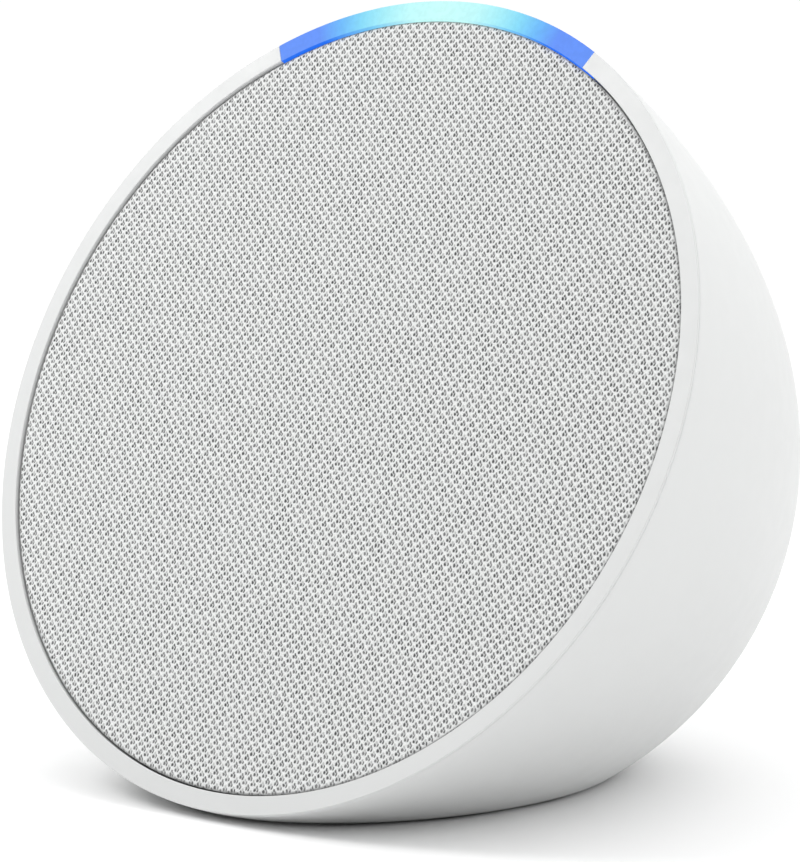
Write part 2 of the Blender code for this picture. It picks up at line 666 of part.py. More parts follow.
# --- Loudspeaker --------------------------------------------------------------------------------------
def loudspeaker():
    """The driver, from the frame to the magnet. The cone, dust cap and coil move together."""
    basket()
    turned("driver_gasket", "foam", [(23 * MM, -9.3 * MM), (25 * MM, -9.3 * MM), (25 * MM, -10.1 * MM), (23 * MM, -10.1 * MM)], DRIVER)
    roll = [(19.9 * MM + 2.0 * MM * math.cos(a), -7.5 * MM + 1.7 * MM * math.sin(a)) for a in half_turn(6)]
    inner_roll = [(19.9 * MM + 1.6 * MM * math.cos(a), -7.7 * MM + 1.5 * MM * math.sin(a)) for a in half_turn(6)]
    surround = [
        (16.9 * MM, -7.35 * MM),
        *roll,
        (23.2 * MM, -7.35 * MM),
        (23.2 * MM, -7.75 * MM),
        *reversed(inner_roll),
        (16.9 * MM, -7.75 * MM),
    ]
    turned("surround", "soft_rubber", surround, DRIVER, ROUND)
    cone = [
        (17.0 * MM, -8.0 * MM),
        (18.0 * MM, -8.0 * MM),
        (18.0 * MM, -8.45 * MM),
        (17.2 * MM, -8.5 * MM),
        (7.2 * MM, -13.9 * MM),
        (7.2 * MM, -13.3 * MM),
    ]
    turned("speaker_cone", "paper_cone", cone, DRIVER, ROUND)
    cap = [(7.4 * MM * math.sin(a), -12.6 * MM + 2.0 * MM * (math.cos(a) - 1)) for a in quarter_turn(4)]
    under = [(7.0 * MM * math.sin(a), -13.0 * MM + 2.0 * MM * (math.cos(a) - 1)) for a in quarter_turn(4)]
    dust_cap = [(r, h + 2.1 * MM) for r, h in [*cap, *reversed(under)]]
    turned("dust_cap", "paper_cone", dust_cap, DRIVER, COARSE, closed=False)
    coil = [
        (6.6 * MM, -13.2 * MM),
        (6.9 * MM, -13.2 * MM),
        (6.9 * MM, -19.0 * MM),
        (7.2 * MM, -19.2 * MM),
        (7.2 * MM, -23.0 * MM),
        (6.6 * MM, -23.0 * MM),
    ]
    turned("voice_coil", "copper", coil, DRIVER, COARSE)
    spider()
    washer = [(7.6 * MM, -20.6 * MM), (14.5 * MM, -20.6 * MM), (14.5 * MM, -22.6 * MM), (7.6 * MM, -22.6 * MM)]
    turned("top_plate", "plated_steel", washer, DRIVER, ROUND)
    ring = [(9.0 * MM, -22.8 * MM), (15.5 * MM, -22.8 * MM), (15.5 * MM, -28.8 * MM), (9.0 * MM, -28.8 * MM)]
    turned("magnet", "ferrite", ring, DRIVER, ROUND)
    yoke = [
        (0, -20.6 * MM),
        (6.2 * MM, -20.6 * MM),
        (6.2 * MM, -29.0 * MM),
        (14.5 * MM, -29.0 * MM),
        (14.5 * MM, -31.4 * MM),
        (0, -31.4 * MM),
    ]
    turned("pole_yoke", "plated_steel", yoke, DRIVER, ROUND, closed=False)


def half_turn(steps):
    """Angles that run over a half roll from its inner foot to its outer foot."""
    return [math.pi * (1 - i / steps) for i in range(steps + 1)]


def quarter_turn(steps):
    return [math.pi / 2 * i / steps for i in range(steps + 1)]


def basket():
    """The driver's frame, with four windows in its side and a screw hole in each corner."""
    profile = [
        (21.6 * MM, -8.0 * MM),
        (25.0 * MM, -8.0 * MM),
        (25.0 * MM, -9.2 * MM),
        (22.8 * MM, -9.2 * MM),
        (17.0 * MM, -17.8 * MM),
        (15.2 * MM, -20.4 * MM),
        (8.2 * MM, -20.4 * MM),
        (8.2 * MM, -19.2 * MM),
        (13.8 * MM, -19.2 * MM),
        (13.8 * MM, -17.3 * MM),
        (15.9 * MM, -17.3 * MM),
    ]
    frame = turned("driver_basket", "black_plastic", profile, DRIVER, ROUND)
    for i in range(4):
        angle = math.pi / 2 * i
        window = sector("basket_window", math.radians(26), -16.4 * MM, -11 * MM, 40 * MM, angle, DRIVER)
        boolean(frame, window)
    for i in range(4):
        angle = math.pi / 4 + math.pi / 2 * i
        ear = ear_outline("driver_ear", None, angle)
        boolean(frame, ear, "UNION")
        x, y = 26.6 * MM * math.cos(angle), 26.6 * MM * math.sin(angle)
        boolean(frame, rod("ear_hole", None, 1.3 * MM, (x, y, -12 * MM), (x, y, -6 * MM), DRIVER, SMALL))
        screw(f"driver_screw_{i + 1}", DRIVER, (x, y, -7.0 * MM), (0, 0, 0), 0.9 * MM, 5.6 * MM, head_radius=1.9 * MM, shank_radius=0.9 * MM)
    return frame


def ear_outline(name, look, angle):
    """A round ear on the basket's flange for one screw."""
    x, y = 26.6 * MM * math.cos(angle), 26.6 * MM * math.sin(angle)
    return rod(name, look, 2.9 * MM, (x, y, -9.2 * MM), (x, y, -8.0 * MM), DRIVER, 12)


def spider():
    """The corrugated cloth ring that centres the coil."""
    waves, first, last, thick = 10, 7.3 * MM, 15.2 * MM, 0.35 * MM
    top = []
    for i in range(waves + 1):
        radius = first + (last - first) * i / waves
        top.append((radius, -16.6 * MM + 0.35 * MM * math.sin(math.pi * i * 0.5)))
    under = [(radius, height - thick) for radius, height in reversed(top)]
    turned("spider", "spider_cloth", [*top, *under], DRIVER, COARSE)


def chamber():
    """The baffle that carries the driver, and the sealed cup behind it."""
    plate = [
        (23.0 * MM, -BAFFLE_TOP),
        (BAFFLE_RADIUS, -BAFFLE_TOP),
        (BAFFLE_RADIUS, -BAFFLE_BOTTOM),
        (23.0 * MM, -BAFFLE_BOTTOM),
    ]
    baffle = turned("baffle", "grey_plastic", [(0, -BAFFLE_TOP), *plate[1:3], (0, -BAFFLE_BOTTOM)], FACE, MEDIUM, closed=False)
    boolean(baffle, box("baffle_floor", None, (-80 * MM, -80 * MM, -40 * MM), (80 * MM, 80 * MM, BASE_TOP + GAP)))
    boolean(baffle, rod("driver_hole", None, 23.2 * MM, (0, 0, -20 * MM), (0, 0, 0), DRIVER, MEDIUM))
    boolean(baffle, box("cable_slot", None, (-6.5 * MM, 41.0 * MM, -15 * MM), (6.5 * MM, 50 * MM, -5 * MM), FACE))
    for i, angle in enumerate(CHASSIS_SCREW_ANGLES, 1):
        x, y = CHASSIS_SCREW_RADIUS * math.cos(angle), CHASSIS_SCREW_RADIUS * math.sin(angle)
        boolean(baffle, rod("baffle_hole", None, 1.45 * MM, (x, y, -15 * MM), (x, y, -5 * MM), FACE, SMALL))
        screw(f"chassis_screw_{i}", FACE, (x, y, -9.0 * MM), (0, 0, 0), 1.05 * MM, 11 * MM)
    for i in range(4):
        angle = math.pi / 4 + math.pi / 2 * i
        x, y = 26.6 * MM * math.cos(angle), 26.6 * MM * math.sin(angle)
        boolean(baffle, rod("pilot_hole", None, 1.05 * MM, (x, y, -15 * MM), (x, y, -5 * MM), DRIVER, SMALL))
    front = BAFFLE_BOTTOM + GAP
    floor = CHAMBER_END - 1.8 * MM
    outside = [
        (0, -front),
        (34.6 * MM, -front),
        (34.6 * MM, -front - 1.8 * MM),
        (32.4 * MM, -front - 1.8 * MM),
        (26.0 * MM, -CHAMBER_END),
        (0, -CHAMBER_END),
    ]
    hollow = [(0, -front + 2 * MM), (30.6 * MM, -front + 2 * MM), (30.6 * MM, -front), (24.6 * MM, -floor), (0, -floor)]
    made = turned("speaker_chamber", "grey_plastic", outside, FACE, MEDIUM, closed=False)
    boolean(made, turned("chamber_hollow", None, hollow, FACE, MEDIUM, closed=False))
    for x in (-2 * MM, 2 * MM):
        boolean(made, rod("wire_hole", None, 0.95 * MM, (x, 18 * MM, -39 * MM), (x, 18 * MM, -33 * MM), FACE, SMALL))
    return made


# --- Electronics --------------------------------------------------------------------------------------
def main_board():
    """The round main board and the larger pieces on it."""
    centre = Vector((0, BOARD_UP, 0))
    board = rod("main_board", "circuit_board", BOARD_RADIUS, centre + Vector((0, 0, -BOARD_BACK)), centre + Vector((0, 0, -BOARD_FRONT)), FACE, MEDIUM)
    clear = 0.2 * MM
    behind = -BOARD_BACK - clear
    box("processor_shield", "shield_can", (-11 * MM, 8 * MM, behind - 1.8 * MM), (7 * MM, 24 * MM, behind), FACE)
    rod("bulk_capacitor", "shield_can", 3.1 * MM, (13 * MM, -6 * MM, behind), (13 * MM, -6 * MM, behind - 6 * MM), FACE, COARSE)
    ahead = -BOARD_FRONT + clear
    box("ribbon_connector", "white_led", (-6.5 * MM, 24 * MM, ahead), (6.5 * MM, 28 * MM, ahead + 1.3 * MM), FACE)
    return board


def power_inlet():
    """The barrel socket behind the shell's recess: a square body, a round mouth and its centre pin."""
    body = box("power_inlet", "black_plastic", (-5 * MM, INLET_BACK, INLET_HEIGHT - 5.4 * MM), (5 * MM, 28.2 * MM, INLET_HEIGHT + 5.4 * MM))
    collar = rod("inlet_collar", None, 3.9 * MM, (0, 27 * MM, INLET_HEIGHT), (0, 31.2 * MM, INLET_HEIGHT), sides=COARSE)
    boolean(body, collar, "UNION")
    bore_end = 21.5 * MM
    bore = rod("inlet_bore", None, 2.9 * MM, (0, bore_end, INLET_HEIGHT), (0, 34 * MM, INLET_HEIGHT), sides=COARSE)
    boolean(body, bore)
    pin = rod("inlet_pin", None, 1.0 * MM, (0, 20 * MM, INLET_HEIGHT), (0, 30.4 * MM, INLET_HEIGHT), sides=SMALL)
    boolean(body, pin, "UNION")
    return body


def cables():
    """The wires and the flat cable inside the shell."""
    for x, look, name in ((-2 * MM, "red_wire", "red"), (2 * MM, "black_wire", "black")):
        route = [
            (x, 14.4 * MM, -22.0 * MM),
            (x, 16.6 * MM, -27.0 * MM),
            (x, 18.0 * MM, -32.0 * MM),
            (x, 18.0 * MM, -36.0 * MM),
            (x, 17.4 * MM, -38.1 * MM),
        ]
        wire(f"speaker_wire_{name}", look, 0.55 * MM, route, FACE)
    for x, look, name in ((-2.5 * MM, "red_wire", "red"), (2.5 * MM, "black_wire", "black")):
        route = [
            (x, -13.0 * MM, -46.0 * MM),
            (x, -16.5 * MM, -45.8 * MM),
            (x, -17.6 * MM, -43.6 * MM),
            (x, -17.6 * MM, -41.6 * MM),
        ]
        wire(f"power_wire_{name}", look, 0.6 * MM, route, FACE)
    route = [
        (43.5 * MM, -7.3 * MM),
        (43.4 * MM, -11.2 * MM),
        (41.5 * MM, -13.0 * MM),
        (38.5 * MM, -13.35 * MM),
        (36.4 * MM, -14.6 * MM),
        (35.3 * MM, -18.0 * MM),
        (34.6 * MM, -28.0 * MM),
        (32.6 * MM, -37.0 * MM),
        (28.4 * MM, -38.9 * MM),
    ]
    ribbon("flat_cable", "flat_cable", 5 * MM, route, 0.3 * MM, FACE)


def antenna():
    """The aerial strip near the shell's side and its lead to the radio."""
    spot = on_dome("antenna_frame", math.radians(62), 32 * MM)
    box("wifi_antenna", "flat_cable", (-5 * MM, -6 * MM, -5.9 * MM), (5 * MM, 6 * MM, -5.4 * MM), spot)
    route = [
        (29.6 * MM, 15.7 * MM, -36.0 * MM),
        (29.0 * MM, 16.0 * MM, -41.0 * MM),
        (25.0 * MM, 16.0 * MM, -43.6 * MM),
        (20.5 * MM, 16.0 * MM, -43.4 * MM),
        (18.6 * MM, 16.0 * MM, -42.3 * MM),
    ]
    wire("antenna_lead", "black_wire", 0.5 * MM, route, FACE)


def main():
    rear_shell()
    front_bezel()
    light_bar()
    grille()
    light_electronics()
    foot_and_base()
    buttons()
    button_board()
    loudspeaker()
    chamber()
    main_board()
    power_inlet()
    cables()
    antenna()


main()
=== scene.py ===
"""The finished look of a compact table-top smart speaker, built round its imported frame."""

import json
import math

import bmesh
import bpy
from bpy.props import FloatProperty, FloatVectorProperty, IntProperty, PointerProperty
from mathutils import Matrix, Vector


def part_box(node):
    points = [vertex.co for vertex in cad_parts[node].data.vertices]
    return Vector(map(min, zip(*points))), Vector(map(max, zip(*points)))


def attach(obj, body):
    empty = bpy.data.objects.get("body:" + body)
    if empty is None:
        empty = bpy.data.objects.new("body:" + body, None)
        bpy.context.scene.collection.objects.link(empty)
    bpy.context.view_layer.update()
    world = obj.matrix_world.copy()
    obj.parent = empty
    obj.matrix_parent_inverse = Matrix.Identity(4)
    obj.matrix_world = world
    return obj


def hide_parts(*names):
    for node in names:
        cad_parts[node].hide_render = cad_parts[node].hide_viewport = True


bl_info = {
    "name": "Smart speaker finish",
    "version": (1, 0, 0),
    "blender": (4, 5, 0),
    "location": "3D View > Sidebar > Speaker",
    "description": "Builds the shell, bezel, light bar, knit front, keys and studio round its frame",
    "category": "Object",
}

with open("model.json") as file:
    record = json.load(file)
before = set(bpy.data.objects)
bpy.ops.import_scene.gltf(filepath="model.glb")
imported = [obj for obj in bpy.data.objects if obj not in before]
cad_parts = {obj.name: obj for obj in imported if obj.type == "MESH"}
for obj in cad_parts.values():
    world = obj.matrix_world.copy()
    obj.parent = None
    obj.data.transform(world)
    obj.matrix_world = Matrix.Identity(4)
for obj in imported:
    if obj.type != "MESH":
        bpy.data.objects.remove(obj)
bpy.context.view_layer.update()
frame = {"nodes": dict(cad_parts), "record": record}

MM = 0.001
PAST = 5 * MM  # how far a cutting tool reaches past the surface that it cuts
LEAST_DEPTH = 0.05 * MM  # least depth at which the dome's side is looked up


# --- What a user may change -------------------------------------------------------------------
def length(name, text, value):
    """A size whose default is given in millimetres."""
    return FloatProperty(
        name=name, description=text, default=value * MM, min=0, unit="LENGTH", subtype="DISTANCE", precision=5
    )


def angle(name, text, degrees):
    return FloatProperty(name=name, description=text, default=math.radians(degrees), subtype="ANGLE")


def colour(name, text, value):
    return FloatVectorProperty(name=name, description=text, default=value, size=3, min=0, max=1, subtype="COLOR")


class SpeakerSizes(bpy.types.PropertyGroup):
    """Sizes of the finished surfaces. Depths are measured behind the face, along its axis."""

    tilt: angle("Face tilt", "How far the face leans back from upright", 25)
    rim_radius: length("Rim radius", "Outside radius of the shell at the face", 49.5)
    dome_depth: length("Dome depth", "From the face to the back of the dome", 63.9)
    wall: length("Wall", "Thickness of the shell", 2.0)
    bezel_inner: length("Bezel inner radius", "Inside radius of the bezel", 47.27)
    bar_inner: length("Light bar inner radius", "Inside radius of the light bar", 47.15)
    bezel_side: length("Bezel side", "Height of the bezel's outer edge above the shell", 0.27)
    bezel_depth: length("Bezel depth", "How deep the bezel's inner wall shows", 2.6)
    edge: length("Edge radius", "Rounding of the bezel's edges", 0.07)
    seam: length("Seam", "Gap between the bezel and the shell", 0.07)
    bar_angle: angle("Light bar half angle", "Half of the arc that the light bar covers", 28.8)
    fabric_radius: length("Fabric radius", "Radius of the stretched knit", 47.05)
    fabric_top: length("Fabric depth", "How far the knit lies behind the face", 0.22)
    fabric_back: length("Fabric back", "Depth of the back of the knit", 0.75)
    stitch_width: length("Stitch width", "Spacing of the knit's holes across the face", 1.297)
    stitch_height: length("Stitch height", "Spacing of the knit's holes up the face", 1.112)
    stitch_relief: length("Stitch relief", "Depth of the hollow in each stitch", 0.2)
    base_height: length("Base height", "Height of the shell's flat underside", 0.35)
    foot_inset: length("Foot inset", "From the dome's outside to the foot's edge", 0.8)
    key_depth: length("Key depth", "Distance of the keys behind the face", 19)
    key_radius: length("Key radius", "Radius of a key's cap", 4.6)
    key_spacing: angle("Key spacing", "Angle between keys round the face's axis", 20)
    inlet_height: length("Inlet height", "Height of the power inlet", 20)
    recess_radius: length("Recess radius", "Radius of the power inlet's recess", 5.6)
    steps: IntProperty(name="Turning steps", description="Segments of the large turned pieces", default=240, min=48)


class SpeakerColours(bpy.types.PropertyGroup):
    """Colours of the finishes."""

    plastic: colour("Plastic", "Moulded shell and bezel", (0.672, 0.680, 0.676))
    yarn: colour("Yarn", "Threads of the knit", (0.815, 0.823, 0.819))
    # Painted shade: laid in the middle of each stitch, and darker still near the knit's rim.
    painted_shade: colour("Yarn shade", "Inside of each stitch", (0.46, 0.466, 0.464))
    hole: colour("Hole", "Gaps between the threads", (0.02, 0.021, 0.022))
    glow_middle: colour("Glow middle", "Light bar in the middle", (0.57, 0.99, 0.97))
    glow_shoulder: colour("Glow shoulder", "Light bar between the middle and its ends", (0.215, 0.70, 0.94))
    glow_end: colour("Glow end", "Light bar at its ends", (0.105, 0.272, 0.95))
    glow_lip: colour("Glow lip", "The bar's inner edge at its ends", (0.010, 0.155, 0.91))
    rubber: colour("Rubber", "Foot", (0.46, 0.465, 0.46))
    mark: colour("Key marks", "Raised marks on the keys", (0.30, 0.31, 0.32))
    floor: colour("Floor", "Studio floor", (0.915, 0.915, 0.915))


def sizes():
    return bpy.context.scene.speaker_sizes


def colours():
    return bpy.context.scene.speaker_colours


# --- Where things are -------------------------------------------------------------------------
def face_matrix():
    """From the face's own axes, with Z out of the face, to the object's. Its centre is found on the knit."""
    size = sizes()
    turn = Matrix.Rotation(math.pi / 2 - size.tilt, 4, "X")
    low, high = (Vector(corner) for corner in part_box("grille_fabric"))
    knit_middle = 0.5 * MM  # the middle of the knit's solid lies that far behind the face
    centre = (low + high) / 2 + knit_middle * (turn.to_3x3() @ Vector((0, 0, 1)))
    return Matrix.Translation(centre) @ turn


def dome_point(t, inset=0.0):
    """(radius, depth) on the dome's side at t from 0, the rim, to 1, the pole, moved in by inset."""
    size = sizes()
    front = 0.60 * size.dome_depth
    a = Vector((size.rim_radius, 0))
    b = Vector((size.rim_radius - 0.075 * front, front))
    c = Vector((0.60 * size.rim_radius, size.dome_depth))
    d = Vector((0, size.dome_depth))
    u = 1 - t
    place = u**3 * a + 3 * u * u * t * b + 3 * u * t * t * c + t**3 * d
    run = (3 * (u * u * (b - a) + 2 * u * t * (c - b) + t * t * (d - c))).normalized()
    return place + inset * Vector((-run.y, run.x))


def dome_at_depth(depth):
    """(radius, outward normal as radius and depth) of the dome's outside at a depth behind the face."""
    low, high = 0.0, 1.0
    for _ in range(40):
        middle = (low + high) / 2
        if dome_point(middle).y < depth:
            low = middle
        else:
            high = middle
    run = (dome_point(low + 1e-4) - dome_point(low - 1e-4)).normalized()
    return dome_point(low).x, Vector((run.y, -run.x))


def on_dome(around, depth):
    """A place on the dome's outside with Z along its outward normal, at an angle round the face's axis."""
    radius, normal = dome_at_depth(depth)
    out = Vector((math.sin(around), math.cos(around), 0))
    z = (normal.x * out + Vector((0, 0, -normal.y))).normalized()
    x = Vector((math.cos(around), -math.sin(around), 0))
    turn = Matrix((x, z.cross(x), z)).transposed().to_4x4()
    return face_matrix() @ Matrix.Translation(radius * out + Vector((0, 0, -depth))) @ turn


# --- Shapes -----------------------------------------------------------------------------------
def spun(profile, steps, start=0.0, sweep=2 * math.pi):
    """A profile of (radius, height) points, closed or ending on the axis, turned about Z from start by sweep."""
    shape = bmesh.new()
    whole = sweep > 2 * math.pi - 1e-6
    ring = [shape.verts.new((radius, 0, height)) for radius, height in profile]
    pairs = list(zip(ring, ring[1:]))
    if profile[0][0] > 0 or profile[-1][0] > 0:
        pairs.append((ring[-1], ring[0]))
    for pair in pairs:
        shape.edges.new(pair)
    if not whole:
        shape.faces.new(ring)
    bmesh.ops.rotate(shape, verts=shape.verts, matrix=Matrix.Rotation(start, 3, "Z"))
    geometry = list(shape.verts) + list(shape.edges)
    if not whole:
        geometry += list(shape.faces)
    bmesh.ops.spin(
        shape,
        geom=geometry,
        cent=(0, 0, 0),
        axis=(0, 0, 1),
        angle=sweep,
        steps=steps,
        use_merge=whole,
        use_duplicate=False,
    )
    bmesh.ops.remove_doubles(shape, verts=shape.verts, dist=1e-7)
    bmesh.ops.recalc_face_normals(shape, faces=shape.faces)
    return shape


def cylinder(radius, low, high, steps=64):
    return spun([(0, high), (radius, high), (radius, low), (0, low)], steps)


def block(low, high):
    shape = bmesh.new()
    bmesh.ops.create_cube(shape, size=1)
    low, high = Vector(low), Vector(high)
    bmesh.ops.scale(shape, vec=high - low, verts=shape.verts)
    bmesh.ops.translate(shape, vec=(low + high) / 2, verts=shape.verts)
    return shape


def made(name, shape, place=None):
    """An object from a bmesh, with its place put into its mesh."""
    if place is not None:
        bmesh.ops.transform(shape, matrix=place, verts=shape.verts)
    mesh = bpy.data.meshes.new(name)
    shape.to_mesh(mesh)
    shape.free()
    piece = bpy.data.objects.new(name, mesh)
    bpy.context.scene.collection.objects.link(piece)
    return piece


def cut(piece, tool, operation="DIFFERENCE"):
    """Applies a Boolean and removes the tool."""
    change = piece.modifiers.new("cut", "BOOLEAN")
    change.operation = operation
    change.object = tool
    change.solver = "EXACT"
    bpy.context.view_layer.update()
    graph = bpy.context.evaluated_depsgraph_get()
    result = bpy.data.meshes.new_from_object(piece.evaluated_get(graph))
    if not result.polygons:
        raise RuntimeError(f"the cut left nothing of {piece.name}")
    piece.modifiers.clear()
    old, piece.data = piece.data, result
    bpy.data.meshes.remove(old)
    bpy.data.objects.remove(tool)
    return piece


def smooth(piece, sharp=35):
    piece.data.shade_smooth()
    piece.data.set_sharp_from_angle(angle=math.radians(sharp))
    return piece


def dress(piece, finish, body, slot, *nodes):
    """Gives a piece its material, the body it rides on and the CAD nodes that it stands for. The slot is not used.
    """
    piece.data.materials.clear()
    piece.data.materials.append(finish)
    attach(piece, body)
    if nodes:
        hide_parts(*nodes)
    return piece


def arc(centre_radius, centre_height, radius, first, last, count=4):
    """Points of a small rounding in a profile, between two angles in degrees."""
    points = []
    for i in range(count + 1):
        a = math.radians(first + (last - first) * i / count)
        points.append((centre_radius + radius * math.cos(a), centre_height + radius * math.sin(a)))
    return points


# --- Materials --------------------------------------------------------------------------------
class Finish:
    """A node material being built: its Principled shader and short calls for the other nodes."""

    def __init__(self, name, base, roughness, metallic=0.0, **sockets):
        self.material = bpy.data.materials.new(name)
        self.material.use_nodes = True
        self.tree = self.material.node_tree
        self.shader = self.tree.nodes["Principled BSDF"]
        self.set("Base Color", (*base, 1))
        self.set("Roughness", roughness)
        self.set("Metallic", metallic)
        for socket, value in sockets.items():
            self.set(socket.replace("_", " "), value)
        self.place = self.node("TexCoord").outputs["Object"]

    def set(self, socket, value):
        self.shader.inputs[socket].default_value = value

    def node(self, kind, **values):
        new = self.tree.nodes.new(f"ShaderNode{kind}")
        for key, value in values.items():
            setattr(new, key, value)
        return new

    def join(self, source, target):
        self.tree.links.new(source, target)

    def feed(self, socket, value):
        if isinstance(value, bpy.types.NodeSocket):
            self.join(value, socket)
        else:
            socket.default_value = value

    def calc(self, operation, *values):
        """A Math node; each value is a number or a socket."""
        new = self.node("Math", operation=operation)
        for socket, value in zip(new.inputs, values):
            self.feed(socket, value)
        return new.outputs[0]

    def noise(self, scale, detail=3.0, place=None, roughness=0.5):
        new = self.node("TexNoise")
        self.feed(new.inputs["Vector"], place or self.place)
        new.inputs["Scale"].default_value = scale
        new.inputs["Detail"].default_value = detail
        new.inputs["Roughness"].default_value = roughness
        return new.outputs["Fac"]

    def step(self, value, low, high, bottom=0.0, top=1.0):
        """A smooth step from bottom to top as value goes from low to high."""
        new = self.node("MapRange", interpolation_type="SMOOTHSTEP")
        self.feed(new.inputs["Value"], value)
        ends = (("From Min", low), ("From Max", high), ("To Min", bottom), ("To Max", top))
        for socket, number in ends:
            new.inputs[socket].default_value = number
        return new.outputs["Result"]

    def ramp(self, value, *stops):
        new = self.node("ValToRGB")
        self.feed(new.inputs["Fac"], value)
        elements = new.color_ramp.elements
        while len(elements) < len(stops):
            elements.new(1.0)
        for element, (position, tint) in zip(elements, stops):
            element.position = position
            element.color = (*tint, 1)
        return new.outputs["Color"]

    def mix(self, share, first, second):
        new = self.node("Mix", data_type="RGBA")
        self.feed(new.inputs[0], share)
        for socket, value in ((new.inputs[6], first), (new.inputs[7], second)):
            self.feed(socket, (*value, 1) if isinstance(value, (tuple, list)) else value)
        return new.outputs[2]

    def to(self, socket, value):
        self.join(value, self.shader.inputs[socket])
        return self

    def bump(self, height, distance, strength=1.0):
        new = self.node("Bump")
        new.inputs["Strength"].default_value = strength
        new.inputs["Distance"].default_value = distance
        self.join(height, new.inputs["Height"])
        self.join(new.outputs["Normal"], self.shader.inputs["Normal"])
        return self

    def squares(self, first, second):
        """The square root of two sockets' summed squares."""
        return self.calc(
            "SQRT", self.calc("ADD", self.calc("MULTIPLY", first, first), self.calc("MULTIPLY", second, second))
        )

    def face_place(self):
        """Millimetres in the face's own axes: across, up and out of the face."""
        place = face_matrix()
        new = self.node("Mapping", vector_type="TEXTURE")
        self.join(self.place, new.inputs["Vector"])
        new.inputs["Location"].default_value = place.translation
        new.inputs["Rotation"].default_value = place.to_euler()
        new.inputs["Scale"].default_value = (MM, MM, MM)
        split = self.node("SeparateXYZ")
        self.join(new.outputs[0], split.inputs[0])
        return new.outputs[0], split.outputs[0], split.outputs[1], split.outputs[2]


def tinted(base, factor):
    return tuple(min(1.0, c * factor) for c in base)


def moulded_plastic(name, base, grain=9000, depth=0.012, roughness=0.46):
    """Matt moulded plastic: a spark-eroded grain, with slow changes in shade and gloss."""
    finish = Finish(name, base, roughness, Specular_IOR_Level=0.42)
    slow = finish.noise(35, 2)
    finish.to("Base Color", finish.mix(slow, tinted(base, 0.985), tinted(base, 1.012)))
    gloss = finish.step(finish.noise(400, 3), 0.3, 0.7, roughness - 0.04, roughness + 0.05)
    finish.to("Roughness", gloss)
    fine = finish.noise(grain, 2, roughness=0.6)
    pores = finish.node("TexVoronoi")
    finish.join(finish.place, pores.inputs["Vector"])
    pores.inputs["Scale"].default_value = grain * 0.45
    height = finish.calc("MULTIPLY_ADD", pores.outputs["Distance"], 0.5, fine)
    return finish.bump(height, depth * MM, 0.6).material


def glowing_bar():
    """Diffuse light guide: pale in the middle and blue at both ends, with a deeper blue inner edge."""
    size, tint = sizes(), colours()
    finish = Finish("light_guide_glow", tint.glow_middle, 0.45, Specular_IOR_Level=0.1)
    _, across, up, _ = finish.face_place()
    turn = finish.calc("ABSOLUTE", finish.calc("ARCTAN2", across, up))
    share = finish.calc("DIVIDE", turn, size.bar_angle)
    glow = finish.ramp(
        share,
        (0.0, tint.glow_middle),
        (0.21, (0.515, 0.956, 0.965)),
        (0.35, (0.37, 0.86, 0.95)),
        (0.49, tint.glow_shoulder),
        (0.62, (0.125, 0.47, 0.95)),
        (0.76, tint.glow_end),
        (1.0, tint.glow_end),
    )
    lip = finish.ramp(
        share,
        (0.0, tint.glow_middle),
        (0.15, tint.glow_middle),
        (0.42, (0.20, 0.62, 0.93)),
        (0.72, tint.glow_lip),
        (1.0, tint.glow_lip),
    )
    radius = finish.squares(across, up)
    inner, outer = size.bar_inner / MM, size.rim_radius / MM
    inside = finish.step(radius, inner + 0.02, inner + 0.09, 1.0, 0.0)
    at_lip = finish.calc("MAXIMUM", inside, finish.step(radius, outer - 0.05, outer - 0.015))
    cloudy = finish.step(finish.noise(1500, 3), 0.3, 0.7, 0.96, 1.03)
    lit = finish.mix(at_lip, glow, lip)
    strength = finish.node("VectorMath", operation="SCALE")
    finish.join(lit, strength.inputs[0])
    finish.join(cloudy, strength.inputs["Scale"])
    finish.to("Emission Color", strength.outputs[0])
    finish.set("Emission Strength", 0.97)
    finish.set("Base Color", (0.015, 0.02, 0.02, 1))
    return finish.bump(finish.noise(5000, 2), 0.004 * MM, 0.5).material


